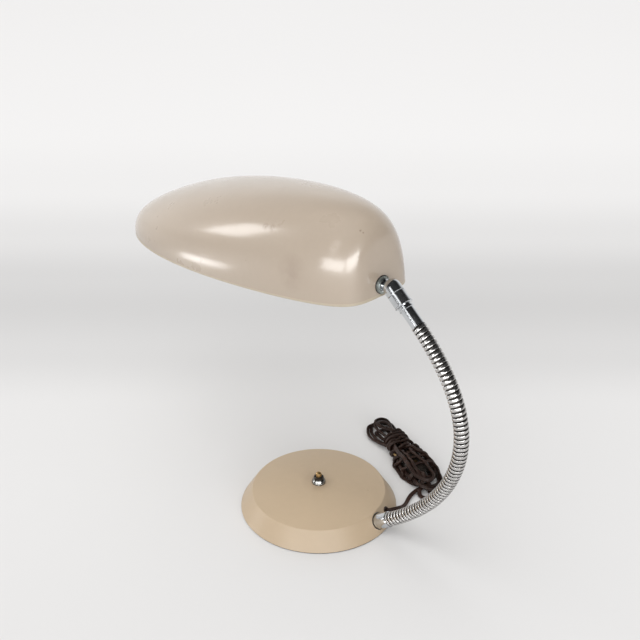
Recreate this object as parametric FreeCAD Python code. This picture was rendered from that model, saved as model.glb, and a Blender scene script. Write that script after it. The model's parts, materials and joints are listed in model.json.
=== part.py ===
import FreeCAD, Part
import math, os

V = FreeCAD.Vector
os.makedirs("parts", exist_ok=True)

# Gooseneck desk lamp. Millimetres, +Z up, origin at the centre of the base's underside.
# +X runs from the base's centre through the foot of the neck; the shade reaches back over -X.

# ---------------------------------------------------------------- driving dimensions
BASE_R = 80.0            # radius of the base at the table
BASE_TOP_R = 68.2        # radius of the edge between skirt and top disc
SKIRT_TOP_Z = 19.9       # height of that edge
DOME_RISE = 7.5          # rise of the top disc at its centre
SHEET_T = 1.2            # sheet thickness of the base
PAD_T = 1.0              # pad under the base
PLATE_T = 1.5            # bottom plate

WEIGHT_R_OUT, WEIGHT_R_IN = 56.0, 24.0
WEIGHT_Z0, WEIGHT_Z1 = 2.5, 14.5

FERRULE_R = 8.0          # foot ferrule of the neck
NECK_R = 7.2             # outer radius of the coil
NECK_GROOVE_R = 6.6
NECK_BORE_R = 4.8
NECK_SEGMENTS = 7
RINGS_PER_SEGMENT = 9
S_COIL_0, S_COIL_1 = 13.0, 288.0     # coil along the centre line
S_BALL = 330.6                       # swivel ball's centre along the centre line
NECK_START = (75.96, 0.0, 12.53)
# (distance along the centre line, elevation of its tangent in degrees)
NECK_ELEV = [(-20, 32.7), (0, 32.7), (13, 34.0), (27.5, 39.4), (55.1, 46.2), (82.6, 53.7), (110.2, 62.6),
             (137.7, 73.6), (165.3, 87.3), (192.8, 103.9), (220.4, 119.6), (247.9, 130.6), (275.5, 139.0),
             (288, 142.2), (300, 143.5), (340, 143.5)]
NECK_TURN = -12.0        # sideways turn of the neck's plane, degrees, spread over the first part
NECK_TURN_S = 115.0

CUP_R = 8.7              # swivel cup and dome
BALL_R = 6.6
STUB_R = 5.0             # threaded stub through the shade
STUB_NECK_R = 3.8
SLOT_HALF = 4.15

SHADE_L, SHADE_W, SHADE_H = 352.0, 156.0, 83.4
SHADE_T = 1.0
SHADE_TIP_DOWN = 5.64    # degrees
SHADE_REAR_GAP = 11.8    # rear of the rim behind the ball's centre, measured level
SHADE_RIM_Z = 259.7      # height of the rim's rear point
W_A, W_B, W_K = 0.51, 0.209, -0.86       # planform curve
H_C, H_D, H_M = 0.567, 0.132, -0.024     # side profile curve
SECT_Q = 2.317                           # cross-section exponent

SWITCH_Z = SKIRT_TOP_Z + DOME_RISE       # top of the dome
PLUNGER_R = 3.0

CORD_W = 4.8             # twin flex, width
CORD_T = 3.0             # and thickness
# route of the cord from its exit to the hank
EXIT_DEG = 14.0          # where the cord leaves the skirt, seen from above
EXIT_Z = 11.2
CORD_ROUTE = [(71.9, 18.0, 11.5), (75.8, 22.7, 12.0), (78.0, 29.4, 10.2), (78.2, 37.6, 6.6), (76.4, 46.4, 3.3), (73.6, 55.6, 2.4),
              (71.8, 65.4, 2.6), (73.4, 75.0, 3.4)]
HANK_C = (34.0, 115.0)   # middle of the hank on the table
HANK_DEG = -30.7         # its long axis
HANK_TOP = 21.0

EDGE = 1e-4


# ---------------------------------------------------------------- helpers
def export(name, shape):
    if not shape.isValid():
        print("INVALID", name)
    shape.exportStep("parts/%s.step" % name)
    n = len(shape.Solids)
    print("%-22s solids %d  volume %.1f  z %.2f..%.2f" % (name, n, shape.Volume, shape.BoundBox.ZMin, shape.BoundBox.ZMax))


def revolve(points):
    """Solid of revolution about Z from (radius, z) points."""
    pts = [V(r, 0, z) for r, z in points]
    wire = Part.makePolygon(pts + [pts[0]])
    return Part.Face(wire).revolve(V(0, 0, 0), V(0, 0, 1), 360)


def cyl(r, z0, z1, x=0.0, y=0.0):
    return Part.makeCylinder(r, z1 - z0, V(x, y, z0))


def ring(r0, r1, z0, z1, x=0.0, y=0.0):
    return cyl(r1, z0, z1, x, y).cut(cyl(r0, z0 - 1, z1 + 1, x, y))


def box(x0, y0, z0, x1, y1, z1):
    return Part.makeBox(x1 - x0, y1 - y0, z1 - z0, V(x0, y0, z0))


def placed(shape, origin, ex, ey, ez):
    m = FreeCAD.Matrix(ex.x, ey.x, ez.x, origin.x, ex.y, ey.y, ez.y, origin.y,
                       ex.z, ey.z, ez.z, origin.z, 0, 0, 0, 1)
    s = shape.copy()
    s.Placement = FreeCAD.Placement(m).multiply(s.Placement)
    return s


def hexagon(across, z0, z1):
    r = across / math.sqrt(3.0)
    pts = [V(r * math.cos(math.radians(60 * i)), r * math.sin(math.radians(60 * i)), z0) for i in range(7)]
    return Part.Face(Part.makePolygon(pts)).extrude(V(0, 0, z1 - z0))


def hexnut(across, bore, z0, z1):
    n = hexagon(across, z0, z1).cut(cyl(bore, z0 - 1, z1 + 1))
    c = across / 2.0
    cone = revolve([(0, z0), (c * 1.16, z0), (c * 1.16, z1 - 0.8), (c * 0.98, z1), (0, z1)])
    return n.common(cone)


def rounded_path(points, factor=0.45, report=None):
    """Wire of straight runs joined by tangent arcs."""
    pts = [V(*p) for p in points]
    edges, start, radii = [], pts[0], []
    for i in range(1, len(pts) - 1):
        a, b, c = pts[i - 1], pts[i], pts[i + 1]
        u, w = (b - a), (c - b)
        lu, lw = u.Length, w.Length
        u.normalize()
        w.normalize()
        turn = math.acos(max(-1, min(1, u.dot(w))))
        cut = factor * min(lu, lw)
        radii.append(cut / math.tan(turn / 2))
        p0, p1 = b - u * cut, b + w * cut
        mid_dir = (w - u)
        mid_dir.normalize()
        r = cut / math.tan(turn / 2)
        centre = b + mid_dir * (r / math.cos(turn / 2))
        pm = centre - mid_dir * r
        edges.append(Part.LineSegment(start, p0).toShape())
        edges.append(Part.Arc(p0, pm, p1).toShape())
        start = p1
    edges.append(Part.LineSegment(start, pts[-1]).toShape())
    if report:
        print(report, "bend radii", ["%.1f" % r for r in radii])
    return Part.Wire(edges)


def tube(points, r, report=None):
    path = rounded_path(points, report=report)
    d = V(*points[1]) - V(*points[0])
    prof = Part.Wire([Part.makeCircle(r, V(*points[0]), d)])
    t = path.makePipeShell([prof], True, False)
    if report:
        print(report, "volume ratio %.4f length %.1f" % (t.Volume / (math.pi * r * r * path.Length), path.Length))
    return t


# ---------------------------------------------------------------- the neck's centre line
def elev(s):
    pts = NECK_ELEV
    n = len(pts)
    for i in range(n - 1):
        if s <= pts[i + 1][0] or i == n - 2:
            (s0, e0), (s1, e1) = pts[i], pts[i + 1]
            h = s1 - s0

            def slope(j):
                if j <= 0 or j >= n - 1:
                    return 0.0
                return (pts[j + 1][1] - pts[j - 1][1]) / (pts[j + 1][0] - pts[j - 1][0])
            t = (s - s0) / h
            m0, m1 = slope(i) * h, slope(i + 1) * h
            return (2 * t**3 - 3 * t**2 + 1) * e0 + (t**3 - 2 * t**2 + t) * m0 + (-2 * t**3 + 3 * t**2) * e1 + (t**3 - t**2) * m1
    return pts[-1][1]


def turn(s):
    t = max(0.0, min(1.0, s / NECK_TURN_S))
    return NECK_TURN * t * t * (3 - 2 * t)


def tangent(s):
    e, p = math.radians(elev(s)), math.radians(turn(s))
    return V(math.cos(e) * math.cos(p), math.cos(e) * math.sin(p), math.sin(e))


def side(s):
    """Level direction across the neck (the in-plane bend's axis)."""
    p = math.radians(turn(s))
    return V(math.sin(p), -math.cos(p), 0)


STEP = 0.25
_line = {}
_p = V(*NECK_START)
_line[0] = V(*NECK_START)
for _i in range(0, int(345 / STEP)):
    _p = _p + tangent((_i + 0.5) * STEP) * STEP
    _line[_i + 1] = V(_p.x, _p.y, _p.z)


def at(s):
    if s < 0:
        return V(*NECK_START) + tangent(0) * s
    k = s / STEP
    i = int(k)
    return _line[i] + (_line[i + 1] - _line[i]) * (k - i)


def along(shape, s, roll_plane=True):
    """Local Z along the neck, local Y along side(s)."""
    ez = tangent(s)
    ey = side(s)
    ex = ey.cross(ez)
    return placed(shape, at(s), ex, ey, ez)


BALL = at(S_BALL)
ARM = tangent(S_BALL)
PSI = math.radians(NECK_TURN)
TAU = math.radians(SHADE_TIP_DOWN)
LEVEL = V(math.cos(PSI), math.sin(PSI), 0)       # level direction from shade to neck
SIDE = V(-math.sin(PSI), math.cos(PSI), 0)
SX = LEVEL * math.cos(TAU) + V(0, 0, math.sin(TAU))       # shade's own axes: +X to the rear,
SZ = V(0, 0, math.cos(TAU)) - LEVEL * math.sin(TAU)       # +Z away from the rim
REAR = V(BALL.x, BALL.y, 0) - LEVEL * SHADE_REAR_GAP + V(0, 0, SHADE_RIM_Z)
_d = BALL - REAR
STUB_Z = _d.dot(SZ)      # stub's height above the rim plane
STUB_X = _d.dot(SX)      # ball's centre behind the rear wall
print("ball", BALL, "arm", ARM, "stub z %.2f x %.2f" % (STUB_Z, STUB_X))
print("angle arm/stub %.2f" % math.degrees(math.acos(ARM.dot(SX * -1))))


def in_shade(shape):
    """Shade's own frame: origin at the rim's rear point, X to the rear, Z away from the rim."""
    return placed(shape, REAR, SX, SIDE, SZ)


def on_arm(shape):
    """Origin at the ball, Z along the arm towards the dome, X on the side of the slot."""
    ez = ARM
    ey = SIDE
    ex = ey.cross(ez)
    # X has to point to the side that the stub swings to (downwards)
    if ex.dot(SX * -1) < 0:
        ex, ey = ex * -1, ey * -1
    return placed(shape, BALL, ex, ey, ez)


# ---------------------------------------------------------------- base
skirt = (BASE_R - BASE_TOP_R) / (SKIRT_TOP_Z - PAD_T)
dome_r = (BASE_TOP_R**2 + DOME_RISE**2) / (2 * DOME_RISE)
dome_c = SWITCH_Z - dome_r


def base_profile(inset, z0, reach):
    """Half section of the base's shell, moved in by inset."""
    R = dome_r - inset
    n = math.sqrt(1 + skirt * skirt)
    pts = [V(0, 0, z0), V(BASE_R - inset * n - (z0 - PAD_T) * skirt, 0, z0)]
    # corner where the inset skirt meets the inset dome
    lo, hi = 0.0, SKIRT_TOP_Z + 3
    for _ in range(60):
        z = (lo + hi) / 2
        r = BASE_R - inset * n - (z - PAD_T) * skirt
        if (r * r + (z - dome_c)**2) < R * R:
            lo = z
        else:
            hi = z
    r = BASE_R - inset * n - (lo - PAD_T) * skirt
    corner = V(r, 0, lo)
    top = V(0, 0, dome_c + R)
    half = math.asin(r / R) / 2
    mid = V(R * math.sin(half), 0, dome_c + R * math.cos(half))
    e = [Part.LineSegment(pts[0], pts[1]).toShape(), Part.LineSegment(pts[1], corner).toShape(),
         Part.Arc(corner, mid, top).toShape(), Part.LineSegment(top, pts[0]).toShape()]
    return Part.Face(Part.Wire(e)).revolve(V(0, 0, 0), V(0, 0, 1), 360)


outer = base_profile(0.0, PAD_T, 0)
edges = [e for e in outer.Edges if abs(e.BoundBox.ZMin - e.BoundBox.ZMax) < 1e-3 and abs(e.BoundBox.ZMax - SKIRT_TOP_Z) < 1.0
         and e.Length > 100]
outer = outer.makeFillet(1.6, edges)
inner = base_profile(SHEET_T, PAD_T - 2.0, 0)
shell = outer.cut(inner)
shell = shell.cut(cyl(5.15, 15, 40))                       # switch hole
ferrule_hole = along(cyl(8.9, -7, 6), -3.0)
shell = shell.cut(ferrule_hole)
# cord hole with its bush, level, beside the neck's foot
_er = BASE_R - (EXIT_Z - PAD_T) * skirt
_ea = math.radians(EXIT_DEG)
exit_p = V(_er * math.cos(_ea), _er * math.sin(_ea), EXIT_Z)
exit_d = V(math.cos(_ea), math.sin(_ea), skirt)
exit_d.normalize()
ex_e = exit_d.cross(V(0, 0, 1))
ex_e.normalize()
ey_e = exit_d.cross(ex_e)


def at_exit(shape):
    return placed(shape, exit_p, ex_e, ey_e, exit_d)


shell = shell.cut(at_exit(cyl(4.0, -9, 3)))
# posts welded under the top disc, for the bottom plate's screws
POST_R = 65.0
SCREW_AT = [(POST_R, 60), (POST_R, 180), (POST_R, 300), (40.0, 0), (40.0, 120), (40.0, 240)]
for rr, a in SCREW_AT[:3]:
    x, y = rr * math.cos(math.radians(a)), rr * math.sin(math.radians(a))
    post = cyl(3.6, PAD_T + PLATE_T + 0.02, 30, x, y).common(outer).cut(cyl(2.0, 0, 14.0, x, y))
    shell = shell.fuse(post)
export("base_shell", shell)

pad = cyl(79.4, 0, PAD_T)
export("base_pad", pad)

screws = []
for rr, a in SCREW_AT:
    x, y = rr * math.cos(math.radians(a)), rr * math.sin(math.radians(a))
    head = revolve([(0, PAD_T + 0.02), (3.5, PAD_T + 0.02), (1.98, PAD_T + 1.5), (1.98, 11.0), (0, 11.0)])
    head.translate(V(x, y, 0))
    slot = box(x - 4, y - 0.5, PAD_T - 1, x + 4, y + 0.5, PAD_T + 0.6)
    screws.append((x, y, head.cut(slot)))
plate = cyl(77.4, PAD_T + 0.02, PAD_T + PLATE_T)
plate = plate.cut(box(55, -12, 0, 90, 12, 5))
weight = revolve([(WEIGHT_R_IN, WEIGHT_Z0 + 0.02), (WEIGHT_R_OUT, WEIGHT_Z0 + 0.02), (WEIGHT_R_OUT, WEIGHT_Z1 - 2),
                  (WEIGHT_R_OUT - 2, WEIGHT_Z1), (WEIGHT_R_IN + 2, WEIGHT_Z1), (WEIGHT_R_IN, WEIGHT_Z1 - 2)])
for x, y, s in screws:
    hole = revolve([(0, PAD_T - 1), (3.56, PAD_T - 1), (3.56, PAD_T + 0.02), (2.02, PAD_T + 1.54), (2.02, 11.1), (0, 11.1)])
    hole.translate(V(x, y, 0))
    plate = plate.cut(hole)
    weight = weight.cut(hole)
export("base_weight", weight)
export("plate_screws", Part.makeCompound([s for _, _, s in screws]))

# ---------------------------------------------------------------- push switch in the base's centre
zt = SWITCH_Z                                              # outer top of the dome
zu = zt - SHEET_T                                          # its underside
bush = revolve([(3.05, 31.2), (3.05, zt + 7.4), (4.5, zt + 7.4), (5.0, zt + 6.9), (5.0, 23.4), (8.2, 23.4),
                (8.2, 21.6), (4.35, 21.6), (4.35, 31.2)])
export("switch_bush", bush)
ringnut = revolve([(5.06, zt + 0.02), (7.15, zt + 0.02), (7.2, zt + 1.1), (6.7, zt + 2.6), (5.9, zt + 4.2),
                   (5.45, zt + 4.9), (5.06, zt + 5.0)])
notches = [box(-9, -0.6, zt + 3.7, 9, 0.6, zt + 6)]
n2 = notches[0].copy()
n2.rotate(V(0, 0, 0), V(0, 0, 1), 90)
export("switch_ring_nut", ringnut.cut(notches[0]).cut(n2))
under = ring(5.06, 8.6, 23.45, zu - 0.14)
tooth = []
for k in range(12):
    b = box(7.4, -0.5, 23.0, 9.0, 0.5, 30.0)
    b.rotate(V(0, 0, 0), V(0, 0, 1), 30 * k)
    tooth.append(b)
under = ring(5.06, 8.6, zu - 1.1, zu - 0.14)
under = under.cut(Part.makeCompound(tooth))
export("switch_lock_washer", under)
innut = hexnut(14.0, 5.06, 23.42, zu - 1.12)
export("switch_back_nut", innut)
body = revolve([(0, 9.0), (9.0, 9.0), (9.6, 9.6), (9.6, 21.0), (9.0, 21.58), (3.35, 21.58), (3.35, 17.4), (0, 17.4)])
export("switch_body", body)
terms = []
for sy in (-1, 1):
    t = box(-3, sy * 5.4 - 1.6, 5.2, 3, sy * 5.4 + 1.6, 6.2).fuse(box(-0.6, sy * 5.4 - 1.6, 6.2, 0.6, sy * 5.4 + 1.6, 8.98))
    t = t.fuse(cyl(1.7, 3.9, 5.2, 1.2, sy * 5.4))
    terms.append(t)
export("switch_terminals", Part.makeCompound(terms))
plunger = revolve([(0, 20.8), (PLUNGER_R - 0.02, 20.8), (PLUNGER_R - 0.02, 28.6), (4.2, 28.6), (4.2, 30.8), (PLUNGER_R - 0.02, 30.8),
                   (PLUNGER_R - 0.02, zt + 10.2), (2.7, zt + 11.2), (2.0, zt + 11.9), (1.0, zt + 12.25), (0, zt + 12.3)])
export("switch_plunger", plunger)
spring_turns = []
for k in range(5):
    tor = Part.makeTorus(3.66, 0.38, V(0, 0, 22.2 + k * 1.42), V(0, 0, 1))
    spring_turns.append(tor)
sp = ring(3.3, 4.05, 21.7, 28.5)
for k in range(4):
    sp = sp.cut(ring(3.75, 4.3, 22.5 + k * 1.5, 23.1 + k * 1.5))
export("switch_spring", sp)

# ---------------------------------------------------------------- foot of the neck
seat_z = -3.95                                             # inner face of the skirt, along the neck
foot = revolve([(NECK_BORE_R, seat_z), (FERRULE_R, seat_z), (FERRULE_R, S_COIL_0 - 1.2), (FERRULE_R - 0.6, S_COIL_0 - 0.25),
                (NECK_BORE_R, S_COIL_0 - 0.25)])
nip = revolve([(3.5, -10.2), (4.6, -10.2), (5.0, -9.8), (5.0, seat_z + 0.01), (NECK_BORE_R + 0.3, seat_z + 0.01),
               (NECK_BORE_R + 0.3, seat_z + 1.5), (3.5, seat_z + 1.5)])
foot = foot.fuse(nip).removeSplitter()
export("root_ferrule", along(foot, 0.0))
room = base_profile(SHEET_T + 0.03, PAD_T - 2.0, 0)
export("root_seat", along(ring(5.06, 10.2, seat_z - 2.4, seat_z - 0.02), 0.0).common(room).common(box(0, -50, PAD_T + 0.3, 99, 50, 40)))
export("root_nut", along(hexnut(12.0, 5.06, seat_z - 5.0, seat_z - 2.42), 0.0))
plate = plate.cut(along(cyl(10.6, -12, -3), 0.0))
export("base_plate", plate)

# ---------------------------------------------------------------- neck segments
pitch = (S_COIL_1 - S_COIL_0) / (NECK_SEGMENTS * RINGS_PER_SEGMENT)
seg_len = (S_COIL_1 - S_COIL_0) / NECK_SEGMENTS
h = pitch / 2
band = revolve([(5.7, -h + 0.35), (NECK_R, -h + 1.0), (NECK_R, h - 1.0), (5.7, h - 0.35)]).rotated(V(0, 0, 0), V(0, 0, 1), 37)


def bent_bar(s0, s1, r):
    """Round bar along the arc through three points of the centre line."""
    a, b, c = at(s0), at((s0 + s1) / 2), at(s1)
    circle = Part.Arc(a, b, c).toShape().Curve
    o, axis = circle.Center, circle.Axis
    d = axis.cross(a - o)
    if d.dot(c - a) < 0:
        axis, d = axis * -1, d * -1
    face = Part.Face(Part.Wire([Part.makeCircle(r, a, d)]))
    return face.revolve(o, axis, math.degrees((a - o).getAngle(c - o)))


HINGES = []
for k in range(NECK_SEGMENTS):
    s0 = S_COIL_0 + k * seg_len
    s1 = s0 + seg_len
    # a bent bar with a crowned band for each turn of the coil, bored through at the end
    seg = bent_bar(s0, s1, NECK_GROOVE_R).multiFuse([along(band, s0 + (j + 0.5) * pitch) for j in range(RINGS_PER_SEGMENT)])
    if k < NECK_SEGMENTS - 1:
        head = Part.makeSphere(6.95).common(cyl(8, -1.7, 4.2)).rotated(V(0, 0, 0), V(0, 0, 1), 37)
        seg = seg.fuse(along(head, s1))
        HINGES.append((k + 1, at(s1), side(s1), tangent(s1)))
    if k > 0:
        seg = seg.cut(along(Part.makeSphere(7.4).rotated(V(0, 0, 0), V(0, 0, 1), 37), s0))
    seg = seg.cut(bent_bar(s0 - 4, s1 + 8, NECK_BORE_R))
    export("neck_coil_%d" % (k + 1), seg)
    w0 = s0 + (1.4 if k else -13.0 - 11.5)
    w1 = s1 - 1.4 if k < NECK_SEGMENTS - 1 else S_BALL - 14.0
    n = max(3, int((w1 - w0) / 13.0) + 1)
    # the first length starts inside the base, the last ends inside the swivel
    pts = [tuple(at(w0 + (w1 - w0) * i / n)) for i in range(n + 1)]
    export("neck_wire_%d" % (k + 1), tube(pts, 2.0))
for k, p, sd, t in HINGES:
    up = sd.cross(t)
    print("HINGE %d pos (%.3f, %.3f, %.3f) in-plane axis (%.5f, %.5f, %.5f) sideways axis (%.5f, %.5f, %.5f)" % (
        k, p.x, p.y, p.z, sd.x, sd.y, sd.z, up.x, up.y, up.z))

# ---------------------------------------------------------------- upper ferrule and swivel
T0 = S_COIL_1 - S_BALL                                     # coil's end, seen from the ball
top = revolve([(NECK_BORE_R, T0 + 0.22), (6.3, T0 + 0.22), (6.5, T0 + 0.6), (6.5, -24.0), (7.2, -23.6), (7.2, -22.0), (6.6, -21.6),
               (6.6, -20.0), (8.6, -19.4), (9.15, -19.0), (9.15, -18.3), (4.5, -18.3), (4.5, -13.9), (5.3, -13.9), (5.3, -13.2),
               (3.2, -13.2), (3.2, -20.0), (NECK_BORE_R, -22.0)])
export("top_ferrule", on_arm(top))
cup = revolve([(4.57, -18.2), (CUP_R - 0.3, -18.2), (CUP_R, -17.8), (CUP_R, -7.0), (CUP_R - 0.3, -6.7), (7.5, -6.7), (7.5, -4.4),
               (6.5, -4.4), (6.5, -14.2), (4.57, -14.2)])
export("swivel_cup", on_arm(cup))
n_arc = 14
prof = [(7.56, -6.2), (CUP_R - 0.35, -6.2), (CUP_R, -5.8)]
prof += [(CUP_R * math.cos(math.radians(a)), CUP_R * math.sin(math.radians(a))) for a in [90.0 * i / n_arc for i in range(n_arc)]]
prof += [(0, CUP_R), (0, BALL_R + 0.08)]
prof += [((BALL_R + 0.08) * math.cos(math.radians(a)), (BALL_R + 0.08) * math.sin(math.radians(a)))
         for a in [90 - 90.0 * i / n_arc for i in range(1, n_arc + 1)]]
prof += [(BALL_R + 0.08, -4.2), (7.56, -4.2)]
e_out = Part.makeSphere(CUP_R).common(cyl(20, 0, 20)).fuse(revolve([(0, -6.2), (CUP_R - 0.35, -6.2), (CUP_R, -5.8), (CUP_R, 0), (0, 0)]))
e_in = Part.makeSphere(BALL_R + 0.08).fuse(cyl(BALL_R + 0.08, -8, 0)).fuse(cyl(7.56, -8, -4.2))
cap = e_out.cut(e_in)
# slot: from the apex down the side that the stub swings to
slot = cyl(SLOT_HALF, 0, 20).fuse(box(0, -SLOT_HALF, 0, 20, SLOT_HALF, 20))
slot_low = Part.makeCylinder(SLOT_HALF, 20, V(0, 0, 0), V(1, 0, 0))
cap = cap.cut(slot).cut(slot_low)
export("swivel_cap", on_arm(cap))
seat = revolve([(3.0, -6.6), (6.3, -6.6), (6.3, -4.6), (5.6, -3.9), (5.0, -4.75), (3.6, -5.9), (3.0, -5.9)])
seat = seat.cut(Part.makeSphere(BALL_R + 0.06))
export("ball_seat", on_arm(seat))
wave = ring(5.5, 6.36, -14.18, -6.62)
for k in range(4):
    wave = wave.cut(ring(5.95, 7.0, -13.4 + 1.7 * k, -12.6 + 1.7 * k))
export("seat_spring", on_arm(wave))

# ball with its hollow threaded stub: drawn in the shade's frame
bx, bz = STUB_X, STUB_Z


def stub_cyl(r, x0, x1):
    return Part.makeCylinder(r, x1 - x0, V(x0, 0, bz), V(1, 0, 0))


ball = Part.makeSphere(BALL_R, V(bx, 0, bz))
ball = ball.fuse(stub_cyl(STUB_NECK_R, bx - 9.6, bx - 4)).fuse(stub_cyl(STUB_R, -9.0, bx - 9.6))
ball = ball.fuse(stub_cyl(6.2, 1.92, bx - 9.5))
ball = ball.cut(stub_cyl(2.6, -16, bx + 10))
# room for the wire as the ball turns
ball = ball.cut(Part.makeSphere(4.0, V(bx + 4.5, 0, bz)))
export("swivel_ball", in_shade(ball))


def along_stub(shape):
    """Shape drawn on Z, laid along the shade's X at the stub's height."""
    return in_shade(placed(shape, V(0, 0, bz), V(0, 1, 0), V(0, 0, 1), V(1, 0, 0)))


export("shade_gasket", along_stub(ring(STUB_R + 0.06, 8.9, 0.10, 0.8)))
zw = ring(STUB_R + 0.06, 8.3, 0.82, 1.9)
teeth = []
for k in range(16):
    b = box(7.1, -0.45, 1.3, 9.5, 0.45, 3.0)
    b.rotate(V(0, 0, 0), V(0, 0, 1), 22.5 * k)
    teeth.append(b)
export("shade_washer", along_stub(zw.cut(Part.makeCompound(teeth))))
export("stub_nut", along_stub(hexnut(14.0, STUB_R + 0.06, -5.9, -2.92)))

# ---------------------------------------------------------------- shade
def curve_value(u, a, b, k):
    return u**a * (1 - u)**b * math.exp(k * u)


def peak(a, b, k):
    return max(curve_value(i / 4000.0, a, b, k) for i in range(1, 4000))


PW, PH = peak(W_A, W_B, W_K), peak(H_C, H_D, H_M)


def height(x, y, L, W, H):
    """Height above the rim plane; x is measured forwards from the rear."""
    u = 1 - x / L
    if u <= 1e-9 or u >= 1 - 1e-12:
        return 0.0
    w = W / 2 * curve_value(u, W_A, W_B, W_K) / PW
    hh = H * curve_value(u, H_C, H_D, H_M) / PH
    v = abs(y) / w if w > 1e-9 else 1
    return hh * max(0.0, 1 - v**SECT_Q)**(1 / SECT_Q)


def half_width(x, L, W):
    u = 1 - x / L
    if u <= 1e-9 or u >= 1 - 1e-12:
        return 0.0
    return W / 2 * curve_value(u, W_A, W_B, W_K) / PW


def rim_radius(theta, L, W, xc):
    c, s = math.cos(theta), math.sin(theta)
    lo, hi = 0.0, L
    for _ in range(60):
        m = (lo + hi) / 2
        x, y = xc - c * m, abs(s * m)
        inside = 0 < x < L and y < half_width(x, L, W)
        if inside:
            lo = m
        else:
            hi = m
    return lo


def shade_levels(L, W, H, levels, n_theta):
    """Closed contours from the rim to near the top: rays from the middle, evenly spaced along each ray's surface."""
    xc = 0.42 * L
    # angles spaced evenly along the rim
    m = 720
    rr = [rim_radius(2 * math.pi * i / m, L, W, xc) for i in range(m + 1)]
    acc = [0.0]
    for i in range(m):
        a0, a1 = 2 * math.pi * i / m, 2 * math.pi * (i + 1) / m
        acc.append(acc[-1] + math.hypot(rr[i + 1] * math.cos(a1) - rr[i] * math.cos(a0), rr[i + 1] * math.sin(a1) - rr[i] * math.sin(a0)))
    thetas = []
    j = 0
    for i in range(n_theta):
        t = acc[-1] * i / n_theta
        while acc[j + 1] < t:
            j += 1
        thetas.append(2 * math.pi * (j + (t - acc[j]) / (acc[j + 1] - acc[j])) / m)
    rings = [[] for _ in levels]
    apex = height(xc, 0, L, W, H)
    for th in thetas:
        R = rim_radius(th, L, W, xc)
        c, s = math.cos(th), math.sin(th)
        pts = []
        for i in range(400):
            t = i / 399.0
            r = R * (1 - t**5)
            x, y = xc - c * r, s * r
            pts.append((x, y, 0.0 if i == 0 else height(x, y, L, W, H)))
        ln = [0.0]
        for i in range(399):
            ln.append(ln[-1] + math.dist(pts[i], pts[i + 1]))
        k = 0
        for q, f in enumerate(levels):
            t = f * ln[-1]
            while k < 398 and ln[k + 1] < t:
                k += 1
            g = (t - ln[k]) / max(ln[k + 1] - ln[k], 1e-12)
            p = [pts[k][d] + (pts[k + 1][d] - pts[k][d]) * g for d in range(3)]
            rings[q].append(V(-p[0], p[1], p[2]))
    return rings, V(-xc, 0, apex)


def shade_solid(L, W, H, dx, drop):
    levels = [0.0, 0.03, 0.07, 0.11, 0.15, 0.19, 0.23, 0.27, 0.305, 0.34, 0.375, 0.41, 0.45, 0.50, 0.56, 0.63, 0.71, 0.80, 0.89, 0.96]
    rings, apex = shade_levels(L, W, H, levels, 88)
    wires = []
    for pts in rings:
        b = Part.BSplineCurve()
        b.interpolate([p + V(dx, 0, 0) for p in pts], PeriodicFlag=True)
        wires.append(Part.Wire([b.toShape()]))
    tip = Part.Vertex(apex + V(dx, 0, 0))
    dome = Part.makeLoft(wires + [tip], True, False)
    if drop:
        low = Part.Face(wires[0]).extrude(V(0, 0, -drop))
        dome = dome.fuse(low)
    return dome


outer_shade = shade_solid(SHADE_L, SHADE_W, SHADE_H, 0.0, 0)
inner_shade = shade_solid(SHADE_L - 2 * SHADE_T, SHADE_W - 2 * SHADE_T, SHADE_H - SHADE_T, -SHADE_T, 2.0)
shade = outer_shade.cut(inner_shade)
print("shade valid", outer_shade.isValid(), inner_shade.isValid(), "volumes", outer_shade.Volume, inner_shade.Volume)
shade = shade.cut(Part.makeCylinder(STUB_R + 0.06, 30, V(-15, 0, bz), V(1, 0, 0)))
for _z in (2.0, 6.0, bz, 16.0, 20.0):
    _v = [Part.Vertex(V(3.0, _y, _z)).distToShape(outer_shade)[0] - 3.0 for _y in (-9.0, 0.0, 9.0)]
    print("rear wall at z %.1f stands in by" % _z, ["%.3f" % v for v in _v])
export("shade_shell", in_shade(shade))

# ---------------------------------------------------------------- lampholder and bulb, in the shade's frame
SOCK_Z = 33.0                                              # lampholder's axis above the rim
bracket = box(-2.9, -7, 3.5, -1.7, 7, SOCK_Z + 6.5)
bracket = bracket.fuse(Part.makeCylinder(6.8, 0.7, V(-1.75, 0, bz), V(1, 0, 0)))
bracket = bracket.cut(Part.makeCylinder(STUB_R + 0.08, 10, V(-8, 0, bz), V(1, 0, 0)))
bracket = bracket.cut(Part.makeCylinder(STUB_R + 0.08, 10, V(-8, 0, SOCK_Z), V(1, 0, 0)))
export("holder_bracket", in_shade(bracket))


def holder(shape):
    """Drawn on Z (Z = forwards), laid on the lampholder's axis; Z 0 is the bracket's front face."""
    return in_shade(placed(shape, V(-2.92, 0, SOCK_Z), V(0, 1, 0), V(0, 0, -1), V(-1, 0, 0)))


nipple = revolve([(3.6, -1.2), (5.0, -1.2), (5.0, 6.5), (3.6, 6.5)])
export("holder_nipple", holder(nipple))
capd = revolve([(5.06, 0.02), (8.0, 0.02), (12.0, 3.0), (14.0, 8.0), (14.0, 17.0), (12.9, 17.0), (12.9, 8.4), (11.2, 4.2), (7.7, 1.3), (5.06, 1.3)])
capd = capd.cut(Part.makeCylinder(2.2, 20, V(0, 5, 13.0), V(0, 1, 0)))
export("holder_cap", holder(capd))
sleeve = revolve([(12.6, 17.04), (14.0, 17.04), (14.0, 19.0), (13.4, 19.6), (13.4, 43.0), (12.6, 43.0)])
export("holder_sleeve", holder(sleeve))
rnut = revolve([(13.46, 24.0), (16.5, 24.0), (16.5, 28.5), (15.6, 29.2), (13.46, 29.2)])
flutes = []
for k in range(12):
    c = cyl(0.9, 22, 31, 16.9, 0)
    c.rotate(V(0, 0, 0), V(0, 0, 1), 30 * k)
    flutes.append(c)
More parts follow.
